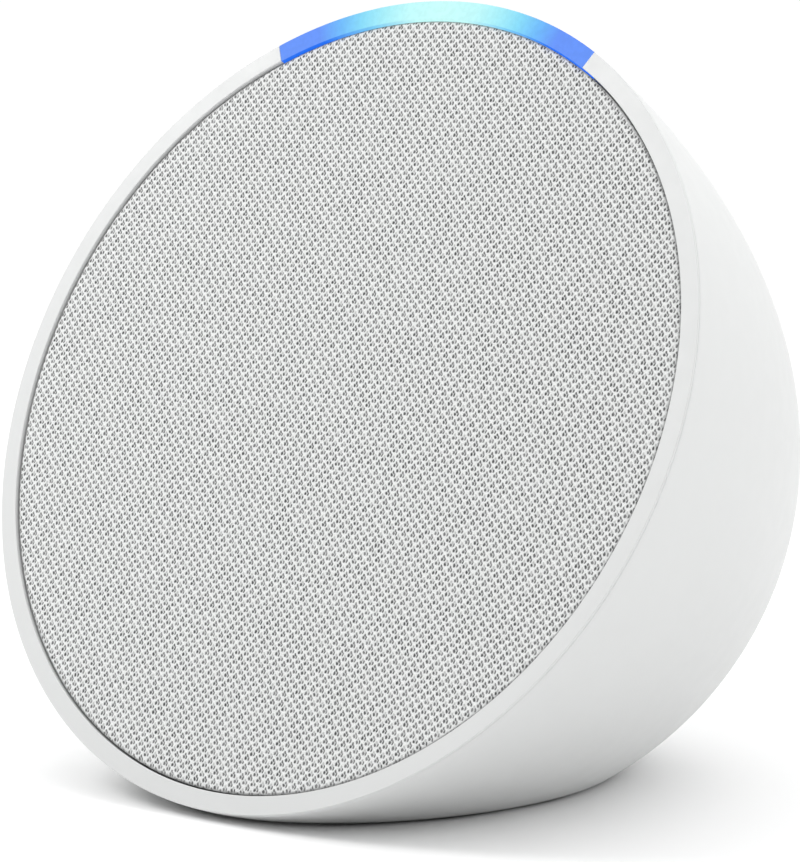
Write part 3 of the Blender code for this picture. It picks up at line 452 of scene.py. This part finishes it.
def knit():
    """Warp-knitted mesh: thick pale threads round staggered stitches, each with a few gaps; painted shade darkens
    the middle of each stitch and the knit towards its rim.
    """
    size, tint = sizes(), colours()
    finish = Finish(
        "knit_cloth", tint.yarn, 0.88, Specular_IOR_Level=0.25, Sheen_Weight=0.12, Sheen_Roughness=0.6
    )
    place, across, up, _ = finish.face_place()
    reach_out = finish.squares(across, up)
    wander = finish.node("TexNoise")
    finish.join(place, wander.inputs["Vector"])
    wander.inputs["Scale"].default_value = 1.1
    wander.inputs["Detail"].default_value = 3
    shift = finish.node("SeparateXYZ")
    finish.join(wander.outputs["Color"], shift.inputs[0])
    width, height = size.stitch_width / MM, size.stitch_height / MM
    unevenness = 0.34
    across = finish.calc("MULTIPLY_ADD", finish.calc("SUBTRACT", shift.outputs[0], 0.5), unevenness, across)
    up = finish.calc("MULTIPLY_ADD", finish.calc("SUBTRACT", shift.outputs[1], 0.5), unevenness, up)

    def within(place, pitch, offset):
        """Millimetres from the middle of the stitch, which repeats at the pitch."""
        turns = finish.calc("ADD", finish.calc("DIVIDE", place, pitch), offset)
        return finish.calc("MULTIPLY", finish.calc("WRAP", turns, 0.5, -0.5), pitch)

    gaps, cells = [], []
    # Each row of stitches has an offset in stitches, and its gaps: across, up, radius and depth of shade.
    rows = (
        (0.0, ((-0.205, -0.01, 0.150, 0.90), (0.205, 0.01, 0.155, 0.92), (0.0, 0.35, 0.120, 0.32))),
        (
            0.5,
            (
                (-0.195, -0.03, 0.150, 0.92),
                (0.205, -0.05, 0.155, 0.97),
                (0.02, 0.31, 0.125, 0.88),
                (0.16, 0.15, 0.09, 0.55),
            ),
        ),
    )
    for offset, dots in rows:
        x = within(across, width, offset)
        y = within(up, height, offset)
        reach = finish.calc(
            "ADD",
            finish.calc("DIVIDE", finish.calc("ABSOLUTE", x), 0.47),
            finish.calc("DIVIDE", finish.calc("ABSOLUTE", finish.calc("SUBTRACT", y, 0.06)), 0.45),
        )
        cells.append(finish.step(reach, 0.72, 1.05, 1.0, 0.0))
        for dx, dy, radius, weight in dots:
            far = finish.calc(
                "SQRT",
                finish.calc(
                    "ADD",
                    finish.calc("POWER", finish.calc("MULTIPLY", finish.calc("SUBTRACT", x, dx), 1.22), 2.0),
                    finish.calc("POWER", finish.calc("MULTIPLY", finish.calc("SUBTRACT", y, dy), 0.74), 2.0),
                ),
            )
            gaps.append(finish.step(far, radius * 0.72, radius * 1.30, weight, 0.0))
    gap = gaps[0]
    for other in gaps[1:]:
        gap = finish.calc("MAXIMUM", gap, other)
    cell = finish.calc("MAXIMUM", *cells)
    uneven = finish.noise(1.1, 2, place)
    gap = finish.calc("MULTIPLY", gap, finish.step(uneven, 0.3, 0.7, 0.7, 1.0))
    fibre = finish.noise(7, 4, place, 0.75)
    thread = finish.mix(finish.step(fibre, 0.35, 0.65), tinted(tint.yarn, 0.84), tinted(tint.yarn, 1.10))
    # Painted shade: the middle of each stitch is darkened towards the shade colour.
    shaded = finish.mix(finish.calc("MULTIPLY", cell, 0.32), thread, tuple(tint.painted_shade))
    # Painted shade where the knit meets the bezel: darker towards its rim.
    edge = size.fabric_radius / MM
    turned = finish.step(reach_out, edge - 0.30, edge - 0.04, 0.0, 0.75)
    cloth = finish.mix(gap, shaded, tuple(tint.hole))
    finish.to("Base Color", finish.mix(turned, cloth, tinted(tint.painted_shade, 0.45)))
    threads = finish.calc("MULTIPLY_ADD", fibre, 0.35, finish.calc("MULTIPLY", cell, -0.45))
    relief = finish.calc("MULTIPLY_ADD", gap, -1.0, threads)
    return finish.bump(relief, 0.07 * MM, 0.9).material


def rubber(name, base):
    finish = Finish(name, base, 0.8, Specular_IOR_Level=0.3)
    finish.to("Base Color", finish.mix(finish.noise(120, 3), tinted(base, 0.93), tinted(base, 1.06)))
    return finish.bump(finish.noise(7000, 3, roughness=0.65), 0.02 * MM, 0.7).material


def metal(name, base, roughness=0.32, scratch=2500):
    finish = Finish(name, base, roughness, 1.0)
    stretched = finish.node("Mapping")
    finish.join(finish.place, stretched.inputs["Vector"])
    stretched.inputs["Scale"].default_value = (1, 1, 0.08)
    streaks = finish.noise(scratch, 3, stretched.outputs[0])
    finish.to("Roughness", finish.step(streaks, 0.3, 0.7, roughness - 0.08, roughness + 0.12))
    finish.to("Base Color", finish.mix(finish.noise(90, 3), tinted(base, 0.9), tinted(base, 1.06)))
    return finish.bump(streaks, 0.004 * MM, 0.5).material


def circuit_board(name, base):
    """Solder mask with the faint relief of tracks and tinned pads."""
    finish = Finish(name, base, 0.35, Coat_Weight=0.3)
    tracks = finish.node("TexBrick")
    finish.join(finish.place, tracks.inputs["Vector"])
    for socket, value in (("Scale", 420), ("Mortar Size", 0.03), ("Brick Width", 0.9), ("Row Height", 0.3)):
        tracks.inputs[socket].default_value = value
    pads = finish.node("TexVoronoi")
    finish.join(finish.place, pads.inputs["Vector"])
    pads.inputs["Scale"].default_value = 700
    pad = finish.step(pads.outputs["Distance"], 0.12, 0.16, 1.0, 0.0)
    masked = finish.mix(tracks.outputs["Fac"], tinted(base, 1.5), tuple(base))
    finish.to("Base Color", finish.mix(pad, masked, (0.75, 0.72, 0.62)))
    finish.to("Metallic", pad)
    return finish.bump(tracks.outputs["Fac"], 0.02 * MM, 0.4).material


def fibrous(name, base, roughness=0.9, scale=2200, depth=0.05):
    """Pulp, cloth or foam: matted fibres with small changes in shade."""
    finish = Finish(name, base, roughness, Specular_IOR_Level=0.2)
    fibres = finish.noise(scale, 5, roughness=0.7)
    finish.to("Base Color", finish.mix(finish.step(fibres, 0.3, 0.7), tinted(base, 0.75), tinted(base, 1.25)))
    return finish.bump(fibres, depth * MM, 0.8).material


def wound_copper(name, base):
    finish = Finish(name, base, 0.3, 1.0)
    _, _, _, out = finish.face_place()
    turns = finish.calc("SINE", finish.calc("MULTIPLY", out, 2 * math.pi / 0.16))
    # Painted shade in the creases between turns and a painted highlight on each turn's crest.
    finish.to("Base Color", finish.mix(finish.step(turns, -1.0, 1.0), tinted(base, 0.55), tinted(base, 1.1)))
    return finish.bump(turns, 0.03 * MM, 0.8).material


def insulated(name, base):
    finish = Finish(name, base, 0.42, Coat_Weight=0.15)
    finish.to("Base Color", finish.mix(finish.noise(500, 3), tinted(base, 0.85), tinted(base, 1.12)))
    return finish.bump(finish.noise(3000, 3), 0.01 * MM, 0.5).material


def conductors(name, base):
    """Flat flexible cable: copper strips that show through the film."""
    finish = Finish(name, base, 0.3, Coat_Weight=0.2)
    split = finish.node("SeparateXYZ")
    finish.join(finish.place, split.inputs[0])
    strip = finish.calc("SINE", finish.calc("MULTIPLY", split.outputs[0], 2 * math.pi / (0.8 * MM)))
    copper = finish.mix(finish.noise(600, 2), (0.72, 0.45, 0.22), (0.62, 0.36, 0.18))
    finish.to("Base Color", finish.mix(finish.step(strip, -0.1, 0.25), tuple(base), copper))
    return finish.bump(strip, 0.02 * MM, 0.5).material


# --- Operators --------------------------------------------------------------------------------
def dome_profile(count, inset, first_depth):
    """Profile of a dome that starts on the axis at first_depth, out to its side and back to the pole."""
    size = sizes()
    points = [(0, -first_depth), (dome_at_depth(max(first_depth, LEAST_DEPTH))[0] - inset, -first_depth)]
    for i in range(count + 1):
        radius, depth = dome_point(i / count, inset)
        if depth > first_depth + 0.25 * size.dome_depth / count:
            points.append((0 if i == count else radius, -depth))
    return points


def trimmed(shape, height, up):
    """Cuts a bmesh level at a height, takes away what is above (up 1) or below (up -1), and closes it."""
    bmesh.ops.bisect_plane(
        shape,
        geom=list(shape.verts) + list(shape.edges) + list(shape.faces),
        dist=1e-7,
        plane_co=(0, 0, height),
        plane_no=(0, 0, up),
        clear_outer=True,
    )
    bmesh.ops.edgenet_fill(shape, edges=[e for e in shape.edges if e.is_boundary])


def inlet_axis():
    """From a turned shape's own axes, with Z to the back along the power inlet, to the object's."""
    return Matrix.Translation((0, 0, sizes().inlet_height)) @ Matrix.Rotation(-math.pi / 2, 4, "X")


def key_places():
    size = sizes()
    return [on_dome(i * size.key_spacing, size.key_depth) for i in (-1, 0, 1)]


class SPEAKER_OT_shell(bpy.types.Operator):
    """Build the domed shell with its key holes, microphone holes, inlet recess and foot pocket"""

    bl_idname = "speaker.shell"
    bl_label = "Shell"
    bl_options = {"REGISTER", "UNDO"}

    def execute(self, context):
        shell = made("shell", self.outside())
        cut(shell, self.hollow())
        self.inlet_recess(shell)
        self.foot_pocket(shell)
        self.key_holes(shell)
        self.pinholes(shell)
        smooth(shell, 30)
        finish = moulded_plastic("shell_plastic", tuple(colours().plastic))
        dress(shell, finish, "housing", "white_plastic", "rear_shell")
        return {"FINISHED"}

    def outside(self):
        """The solid dome, cut level at the base, with the base's edge rounded."""
        size = sizes()
        land = size.bezel_side + size.seam
        rim = size.rim_radius
        rim_rounding, base_rounding = 0.06 * MM, 0.22 * MM
        profile = [(0, -land)] + arc(rim - rim_rounding, -land - rim_rounding, rim_rounding, 90, 0, 3)
        count = 88
        for i in range(1, count + 1):
            radius, depth = dome_point(i / count)
            if depth > land + 0.1 * MM:
                profile.append((0 if i == count else radius, -depth))
        outside = spun(profile, size.steps)
        bmesh.ops.transform(outside, matrix=face_matrix(), verts=outside.verts)
        flat = bmesh.ops.bisect_plane(
            outside,
            geom=list(outside.verts) + list(outside.edges) + list(outside.faces),
            dist=1e-7,
            plane_co=(0, 0, size.base_height),
            plane_no=(0, 0, -1),
            clear_outer=True,
        )["geom_cut"]
        loop = [e for e in flat if isinstance(e, bmesh.types.BMEdge)]
        filled = bmesh.ops.edgenet_fill(outside, edges=loop)["faces"]
        bmesh.ops.recalc_face_normals(outside, faces=outside.faces)
        bmesh.ops.bevel(
            outside,
            geom=[e for face in filled for e in face.edges],
            offset=base_rounding,
            offset_type="WIDTH",
            affect="EDGES",
            segments=2,
            profile=0.5,
            material=-1,
        )
        return outside

    def hollow(self):
        """The room inside the wall, less the thick base, the front's seat and the inlet's collar."""
        size = sizes()
        place = face_matrix()
        front = size.rim_radius - 1.5 * MM
        front_depth, wall_from = 6 * MM, 6.6 * MM
        seat_depth, seat_chord = 4.1 * MM, -47.7 * MM
        base_top = 4 * MM
        collar_radius, collar_from, collar_to = 7.2 * MM, 28.6 * MM, 50 * MM
        profile = [(0, PAST), (front, PAST), (front, -front_depth)]
        for i in range(25):
            radius, depth = dome_point(i / 24, size.wall)
            if depth > wall_from:
                profile.append((0 if i == 24 else radius, -depth))
        hollow = made("hollow", spun(profile, 120), place)
        base = made("base", block((-0.08, -0.08, -0.04), (0.08, 0.08, base_top)))
        seat = made("seat", cylinder(size.rim_radius, -seat_depth, PAST, 96), place)
        chord = made("chord", block((-0.06, -0.07, -0.03), (0.06, seat_chord, 0.02)), place)
        cut(base, cut(seat, chord))
        cut(hollow, base)
        cut(hollow, made("collar", cylinder(collar_radius, collar_from, collar_to), inlet_axis()))
        return hollow

    def inlet_recess(self, shell):
        size = sizes()
        outer, seat, inner = 60 * MM, 31 * MM, 25 * MM
        bore = 4.2 * MM
        profile = [(0, outer), (size.recess_radius, outer), (size.recess_radius, seat)]
        profile += [(bore, seat), (bore, inner), (0, inner)]
        cut(shell, made("recess", spun(profile, 96), inlet_axis()))

    def foot_pocket(self, shell):
        size = sizes()
        clearance, pocket_front, pocket_top = 0.3 * MM, 6.7 * MM, 1.5 * MM
        dome = spun(dome_profile(60, size.foot_inset - clearance, pocket_front), size.steps)
        pocket = made("foot_pocket", dome, face_matrix())
        cut(pocket, made("slab", block((-0.06, -0.06, -0.005), (0.06, 0.06, pocket_top))), "INTERSECT")
        cut(shell, pocket)

    def key_holes(self, shell):
        """Holes whose upper edges are eased."""
        hole = sizes().key_radius + 0.3 * MM
        above, below = 3 * MM, -PAST
        for spot in key_places():
            profile = [(0, above), (hole + 0.5 * MM, above), (hole + 0.16 * MM, 0.0), (hole, -0.42 * MM)]
            profile += [(hole, below), (0, below)]
            cut(shell, made("key_hole", spun(profile, 96), spot))

    def pinholes(self, shell):
        """The microphones' holes, between the keys."""
        size = sizes()
        radius = 0.6 * MM
        for side in (-0.5, 0.5):
            spot = on_dome(side * size.key_spacing, size.key_depth)
            cut(shell, made("pinhole", cylinder(radius, -4 * MM, 2 * MM, 32), spot))


def bezel_profile(inner):
    """Section of the bezel: a flat face with rounded edges, the wall inside it and a flange at its foot."""
    size = sizes()
    outer, edge, side = size.rim_radius, size.edge, size.bezel_side
    neck, flange = 47.75 * MM, 44 * MM
    flange_back = size.bezel_depth + 1.2 * MM
    points = [(outer, -side), (48.4 * MM, -side - 0.02 * MM), (neck, -0.9 * MM)]
    points += [(neck, -flange_back), (flange, -flange_back)]
    points += [(flange, -size.bezel_depth), (inner, -size.bezel_depth)]
    points += arc(inner + edge, -edge, edge, 180, 90, 4)
    points += [(inner + 1.6 * edge, 0), (outer - 1.6 * edge, 0)]
    points += arc(outer - edge, -edge, edge, 90, 0, 4)
    return points


class SPEAKER_OT_bezel(bpy.types.Operator):
    """Build the slim ring round the face and the light bar set into its top"""

    bl_idname = "speaker.bezel"
    bl_label = "Bezel and light bar"
    bl_options = {"REGISTER", "UNDO"}

    def execute(self, context):
        size = sizes()
        place = face_matrix()
        joint = 0.05 * MM / size.rim_radius  # half of the hairline between the ring and the bar
        half = size.bar_angle
        top = math.pi / 2
        turned = spun(bezel_profile(size.bezel_inner), size.steps, top + half + joint, 2 * (math.pi - half - joint))
        ring = made("bezel", turned, place)
        cut(ring, made("under", block((-0.06, -0.07, -0.03), (0.06, -46.75 * MM, -0.95 * MM)), place))
        smooth(ring, 30)
        finish = moulded_plastic(
            "bezel_plastic", tuple(colours().plastic), grain=11000, depth=0.008, roughness=0.42
        )
        dress(ring, finish, "housing", "white_plastic", "front_bezel")
        turned = spun(bezel_profile(size.bar_inner), 72, top - half + joint, 2 * (half - joint))
        bar = smooth(made("light_guide", turned, place), 30)
        dress(bar, glowing_bar(), "housing", "light_guide", "light_bar")
        return {"FINISHED"}


class SPEAKER_OT_cloth(bpy.types.Operator):
    """Build the stretched knit over the face, with a hollow in each stitch"""

    bl_idname = "speaker.cloth"
    bl_label = "Knit front"
    bl_options = {"REGISTER", "UNDO"}

    def execute(self, context):
        size = sizes()
        radius = size.fabric_radius
        shape = self.grid(radius)
        shoulder, drop = 0.35 * MM, 0.22 * MM
        for vert in shape.verts:
            reach = vert.co.xy.length
            if vert.is_boundary:
                vert.co.xy *= radius / reach
                reach = radius
            wave = math.cos(2 * math.pi * vert.co.x / size.stitch_width) * math.cos(
                2 * math.pi * vert.co.y / size.stitch_height
            )
            hollow = ((1 + wave) / 2) ** 1.6 * size.stitch_relief
            edge = max(0.0, (reach - radius + shoulder) / shoulder)
            vert.co.z = -size.fabric_top - hollow * (1 - edge) - drop * edge**2
        rim = [e for e in shape.edges if e.is_boundary]
        turned = bmesh.ops.extrude_edge_only(shape, edges=rim)["geom"]
        for vert in (g for g in turned if isinstance(g, bmesh.types.BMVert)):
            vert.co.z = -size.fabric_back
        back = [e for e in shape.edges if e.is_boundary]
        bmesh.ops.edgenet_fill(shape, edges=back)
        bmesh.ops.recalc_face_normals(shape, faces=shape.faces)
        cloth = smooth(made("knit_front", shape, face_matrix()), 60)
        dress(cloth, knit(), "housing", "fabric", "grille_fabric")
        return {"FINISHED"}

    def grid(self, radius):
        """A flat disc of squares, four to a stitch each way."""
        size = sizes()
        wide, high = size.stitch_width / 4, size.stitch_height / 4
        across, up = math.ceil(radius / wide), math.ceil(radius / high)
        shape = bmesh.new()
        bmesh.ops.create_grid(shape, x_segments=2 * across, y_segments=2 * up, size=1)
        bmesh.ops.scale(shape, vec=(across * wide, up * high, 1), verts=shape.verts)
        far = [f for f in shape.faces if f.calc_center_median().xy.length > radius - 0.1 * MM]
        bmesh.ops.delete(shape, geom=far, context="FACES")
        loose = [v for v in shape.verts if not v.link_faces]
        bmesh.ops.delete(shape, geom=loose, context="VERTS")
        return shape


def sign_bar(reach, half, turn=0.0):
    """A rounded stroke of a key's mark, lying along X."""
    shape = block((-reach, -half, -0.12 * MM), (reach, half, 0.05 * MM))
    upright = [e for e in shape.edges if abs(e.verts[0].co.z - e.verts[1].co.z) > 1e-6]
    bmesh.ops.bevel(
        shape, geom=upright, offset=half * 0.95, affect="EDGES", segments=5, profile=0.5, material=-1
    )
    bmesh.ops.rotate(shape, verts=shape.verts, matrix=Matrix.Rotation(turn, 3, "Z"))
    return shape


class SPEAKER_OT_keys(bpy.types.Operator):
    """Build the three keys and their marks: minus, mute and plus"""

    bl_idname = "speaker.keys"
    bl_label = "Keys"
    bl_options = {"REGISTER", "UNDO"}

    proud = 0.25 * MM  # height of a cap's edge above the shell
    dish = 0.33 * MM  # depth of the hollow in a cap

    def execute(self, context):
        tint = colours()
        profile = self.cap_profile()
        plastic = moulded_plastic(
            "key_plastic", tinted(tuple(tint.plastic), 0.97), grain=10000, depth=0.008, roughness=0.4
        )
        paint = moulded_plastic("key_mark_paint", tuple(tint.mark), grain=9000, depth=0.006, roughness=0.5)
        for name, spot in zip(("volume_down", "mute", "volume_up"), key_places()):
            key = smooth(made(f"{name}_cap", spun(profile, 96), spot))
            dress(key, plastic, f"{name}_key", "white_plastic", f"{name}_button")
            dress(smooth(self.mark(name, spot)), paint, f"{name}_key", "white_plastic")
        return {"FINISHED"}

    def cap_profile(self):
        """A dished cap on a skirt with a flange, and the stem that presses the switch."""
        radius = sizes().key_radius
        rounding = 0.3 * MM
        skirt, flange, stem = -2.8 * MM, -3.5 * MM, -5.2 * MM
        flange_reach, stem_radius = 1 * MM, 1.5 * MM
        profile = [(0, self.proud - self.dish)]
        for i in range(1, 15):
            share = i / 14
            profile.append((radius * 0.92 * share, self.proud - self.dish * (1 - share**2)))
        profile += arc(radius - rounding, self.proud - rounding, rounding, 80, 0, 5)
        profile += [(radius, skirt), (radius + flange_reach, skirt), (radius + flange_reach, flange)]
        profile += [(stem_radius, flange), (stem_radius, stem), (0, stem)]
        return profile

    def mark(self, name, spot):
        """A minus, a circle with a stroke across it, or a plus."""
        face = spot @ Matrix.Translation((0, 0, self.proud - 0.31 * MM))
        reach, half = 1.25 * MM, 0.17 * MM
        slant = math.radians(45) if name == "mute" else 0.0
        mark = made(f"{name}_mark", sign_bar(reach, half, slant), face)
        if name == "volume_up":
            cut(mark, made("upright", sign_bar(reach, half, math.pi / 2), face), "UNION")
        if name == "mute":
            inner, outer, high, low = 1.0 * MM, 1.3 * MM, 0.05 * MM, -0.12 * MM
            ring = [(inner, high), (outer, high), (outer, low), (inner, low)]
            cut(mark, made("circle", spun(ring, 64), face), "UNION")
        return mark


class SPEAKER_OT_foot(bpy.types.Operator):
    """Build the rubber foot in its pocket"""

    bl_idname = "speaker.foot"
    bl_label = "Foot"
    bl_options = {"REGISTER", "UNDO"}

    def execute(self, context):
        size = sizes()
        front, top, rounding = 7 * MM, 1.2 * MM, 0.12 * MM
        shape = spun(dome_profile(60, size.foot_inset, front), size.steps)
        bmesh.ops.transform(shape, matrix=face_matrix(), verts=shape.verts)
        trimmed(shape, 0.0, -1)
        trimmed(shape, top, 1)
        bmesh.ops.recalc_face_normals(shape, faces=shape.faces)
        level = [f for f in shape.faces if abs(f.normal.z) > 0.999]
        under = [f for f in level if f.calc_center_median().z < 0.1 * MM]
        edges = list(dict.fromkeys(e for f in under for e in f.edges))
        bmesh.ops.bevel(
            shape, geom=edges, offset=rounding, affect="EDGES", segments=2, profile=0.5, material=-1
        )
        foot = smooth(made("rubber_foot", shape), 30)
        finish = rubber("foot_rubber_finish", tuple(colours().rubber))
        dress(foot, finish, "housing", "foot_rubber", "foot_pad")
        return {"FINISHED"}


class SPEAKER_OT_inlet(bpy.types.Operator):
    """Build the barrel socket and its pin"""

    bl_idname = "speaker.inlet"
    bl_label = "Power inlet"
    bl_options = {"REGISTER", "UNDO"}

    def execute(self, context):
        socket = self.case()
        cut(socket, made("collar", spun(self.collar_profile(), 96), inlet_axis()), "UNION")
        cut(socket, made("bore", spun(self.bore_profile(), 96), inlet_axis()))
        smooth(socket, 30)
        finish = moulded_plastic("inlet_plastic", (0.025, 0.026, 0.028), 8000, 0.012, 0.4)
        dress(socket, finish, "housing", "black_plastic", "power_inlet")
        rod = smooth(made("inlet_pin", spun(self.pin_profile(), 48), inlet_axis()), 40)
        dress(rod, metal("pin_nickel", (0.72, 0.70, 0.66), 0.22), "housing", "black_plastic")
        return {"FINISHED"}

    def case(self):
        low, high = (Vector(corner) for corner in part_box("power_inlet"))
        case = block(low, (high.x, 28.2 * MM, high.z))
        bmesh.ops.bevel(
            case,
            geom=list(case.edges),
            offset=0.35 * MM,
            affect="EDGES",
            segments=3,
            profile=0.5,
            material=-1,
        )
        return made("inlet_socket", case)

    def collar_profile(self):
        front, back, rounding = 31.2 * MM, 26 * MM, 0.15 * MM
        edge = arc(3.75 * MM, front - rounding, rounding, 90, 0, 3)
        return [(0, front), (2.9 * MM, front)] + edge + [(3.9 * MM, back), (0, back)]

    def bore_profile(self):
        """A straight bore with an eased mouth."""
        bore, end = 2.9 * MM, 21.5 * MM
        mouth = [(0, 34 * MM), (3.3 * MM, 34 * MM), (3.1 * MM, 31.3 * MM), (bore, 31.0 * MM)]
        return mouth + [(bore, end), (0, end)]

    def pin_profile(self):
        radius, end = 1.0 * MM, 20 * MM
        tip = [(0, 30.4 * MM), (0.35 * MM, 30.35 * MM), (0.75 * MM, 30.1 * MM), (radius, 29.6 * MM)]
        return tip + [(radius, end), (0, end)]


class SPEAKER_OT_inside(bpy.types.Operator):
    """Finish the pieces inside the shell, which keep their own shapes"""

    bl_idname = "speaker.inside"
    bl_label = "Inner pieces"
    bl_options = {"REGISTER", "UNDO"}

    def execute(self, context):
        finishes = {
            "grey_plastic": moulded_plastic("inner_plastic", (0.20, 0.21, 0.22), 6000, 0.02, 0.55),
            "black_plastic": moulded_plastic("black_plastic_finish", (0.03, 0.03, 0.035), 6000, 0.02, 0.5),
            "white_plastic": moulded_plastic("white_inner_plastic", tuple(colours().plastic)),
            "light_guide": glowing_bar(),
            "fabric": fibrous("lining_cloth", (0.6, 0.6, 0.6)),
            "foot_rubber": rubber("base_rubber", tuple(colours().rubber)),
            "soft_rubber": rubber("black_rubber", (0.045, 0.045, 0.047)),
            "foam": fibrous("open_foam", (0.07, 0.07, 0.08), 1.0, 3500, 0.15),
            "paper_cone": fibrous("pulp_cone", (0.10, 0.10, 0.11), 0.85, 1800, 0.04),
            "spider_cloth": fibrous("resin_cloth", (0.72, 0.52, 0.22), 0.8, 2600, 0.06),
            "plated_steel": metal("zinc_plate", (0.66, 0.66, 0.68)),
            "shield_can": metal("tinned_sheet", (0.74, 0.74, 0.75), 0.38),
            "ferrite": fibrous("ferrite_ceramic", (0.11, 0.11, 0.12), 0.55, 4000, 0.01),
            "copper": wound_copper("enamelled_winding", (0.76, 0.38, 0.18)),
            "circuit_board": circuit_board("board_mask", (0.02, 0.16, 0.09)),
            "white_led": moulded_plastic("white_resin", (0.86, 0.86, 0.78), 5000, 0.01, 0.35),
            "red_wire": insulated("red_insulation", (0.55, 0.03, 0.03)),
            "black_wire": insulated("black_insulation", (0.02, 0.02, 0.02)),
            "flat_cable": conductors("flat_cable_film", (0.80, 0.78, 0.70)),
        }
        slots = {entry["node"]: entry["material_slot"] for entry in frame["record"]["subparts"]}
        for name, node in frame["nodes"].items():
            node.data.materials.clear()
            node.data.materials.append(finishes[slots[name]])
        return {"FINISHED"}


class SPEAKER_OT_stage(bpy.types.Operator):
    """Set the floor, the soft studio light and the camera"""

    bl_idname = "speaker.stage"
    bl_label = "Stage"
    bl_options = {"REGISTER", "UNDO"}

    def execute(self, context):
        scene = context.scene
        scene.view_settings.view_transform = "Standard"
        self.floor()
        self.sky(scene)
        for name, spot, width, power in (
            ("key_softbox", (-0.28, -0.22, 0.36), 0.22, 0.835),
            ("back_softbox", (0.05, 0.25, 0.38), 0.25, 0.08),
            ("side_softbox", (0.38, 0.02, 0.24), 0.25, 0.25),
        ):
            self.softbox(scene, name, spot, width, power)
        self.camera(scene)
        return {"FINISHED"}

    def floor(self):
        half = 40
        shape = bmesh.new()
        bmesh.ops.create_grid(shape, x_segments=8, y_segments=8, size=half)
        floor = made("studio_floor", shape)
        white = tuple(colours().floor)
        finish = Finish("floor_paint", white, 0.9, Specular_IOR_Level=0.0)
        finish.to("Base Color", finish.mix(finish.noise(3, 2), tinted(white, 0.998), tinted(white, 1.002)))
        floor.data.materials.append(finish.material)

    def sky(self, scene):
        """Light that grows towards the top and the back, with none from below or in front. It looks white."""
        world = bpy.data.worlds.new("studio")
        scene.world = world
        world.use_nodes = True
        tree = world.node_tree

        def math_node(operation, *values):
            new = tree.nodes.new("ShaderNodeMath")
            new.operation = operation
            for socket, value in zip(new.inputs, values):
                if isinstance(value, bpy.types.NodeSocket):
                    tree.links.new(value, socket)
                else:
                    socket.default_value = value
            return new.outputs[0]

        split = tree.nodes.new("ShaderNodeSeparateXYZ")
        tree.links.new(tree.nodes.new("ShaderNodeTexCoord").outputs["Generated"], split.inputs[0])
        back, above = (math_node("MAXIMUM", split.outputs[axis], 0) for axis in (1, 2))
        light = math_node("MULTIPLY_ADD", above, 1.36, math_node("MULTIPLY", back, 0.99))
        seen = tree.nodes.new("ShaderNodeLightPath").outputs["Is Camera Ray"]
        background = tree.nodes["Background"]
        tree.links.new(math_node("MAXIMUM", light, seen), background.inputs["Strength"])
        background.inputs["Color"].default_value = (1, 1, 1, 1)

    def softbox(self, scene, name, spot, width, power):
        """A round soft lamp at spot, turned to the middle of the speaker."""
        light = bpy.data.lights.new(name, "AREA")
        light.shape = "DISK"
        light.size = width
        light.energy = power
        lamp = bpy.data.objects.new(name, light)
        aim = Vector(spot) - Vector((0, -0.01, 0.04))
        lamp.matrix_world = Matrix.Translation(spot) @ aim.to_track_quat("Z", "Y").to_matrix().to_4x4()
        scene.collection.objects.link(lamp)

    def camera(self, scene):
        """A long lens, a little to the speaker's left and above, aimed near the middle of its face."""
        azimuth, elevation = math.radians(39.974), math.radians(7.016)
        distance, aside, upward = 0.43849, 0.008112, -0.003982
        level = math.cos(elevation)
        back = Vector((math.sin(azimuth) * level, -math.cos(azimuth) * level, math.sin(elevation)))
        right = Vector((math.cos(azimuth), math.sin(azimuth), 0))
        up = back.cross(right)
        spot = face_matrix().translation + distance * back + aside * right + upward * up
        data = bpy.data.cameras.new("camera")
        data.sensor_width = 36
        data.lens = 159.81
        data.clip_start = 0.01
        data.clip_end = 100
        camera = bpy.data.objects.new("camera", data)
        turn = Matrix((right, up, back)).transposed().to_4x4()
        camera.matrix_world = Matrix.Translation(spot) @ turn
        scene.collection.objects.link(camera)
        scene.camera = camera


class SPEAKER_PT_panel(bpy.types.Panel):
    """Lists the speaker's build steps"""

    bl_idname = "SPEAKER_PT_panel"
    bl_label = "Smart speaker"
    bl_space_type = "VIEW_3D"
    bl_region_type = "UI"
    bl_category = "Speaker"

    def draw(self, context):
        for step in STEPS:
            self.layout.operator(step.bl_idname)
        for group in (context.scene.speaker_sizes, context.scene.speaker_colours):
            box = self.layout.box()
            for name in group.bl_rna.properties.keys():
                if name not in ("rna_type", "name"):
                    box.prop(group, name)


STEPS = (
    SPEAKER_OT_shell,
    SPEAKER_OT_bezel,
    SPEAKER_OT_cloth,
    SPEAKER_OT_keys,
    SPEAKER_OT_foot,
    SPEAKER_OT_inlet,
    SPEAKER_OT_inside,
    SPEAKER_OT_stage,
)
CLASSES = (SpeakerSizes, SpeakerColours, *STEPS, SPEAKER_PT_panel)


def register():
    for item in CLASSES:
        bpy.utils.register_class(item)
    bpy.types.Scene.speaker_sizes = PointerProperty(type=SpeakerSizes)
    bpy.types.Scene.speaker_colours = PointerProperty(type=SpeakerColours)


def unregister():
    del bpy.types.Scene.speaker_colours
    del bpy.types.Scene.speaker_sizes
    for item in reversed(CLASSES):
        bpy.utils.unregister_class(item)


def main():
    register()
    for step in STEPS:
        group, name = step.bl_idname.split(".")
        getattr(getattr(bpy.ops, group), name)()


if __name__ == "__main__":
    main()
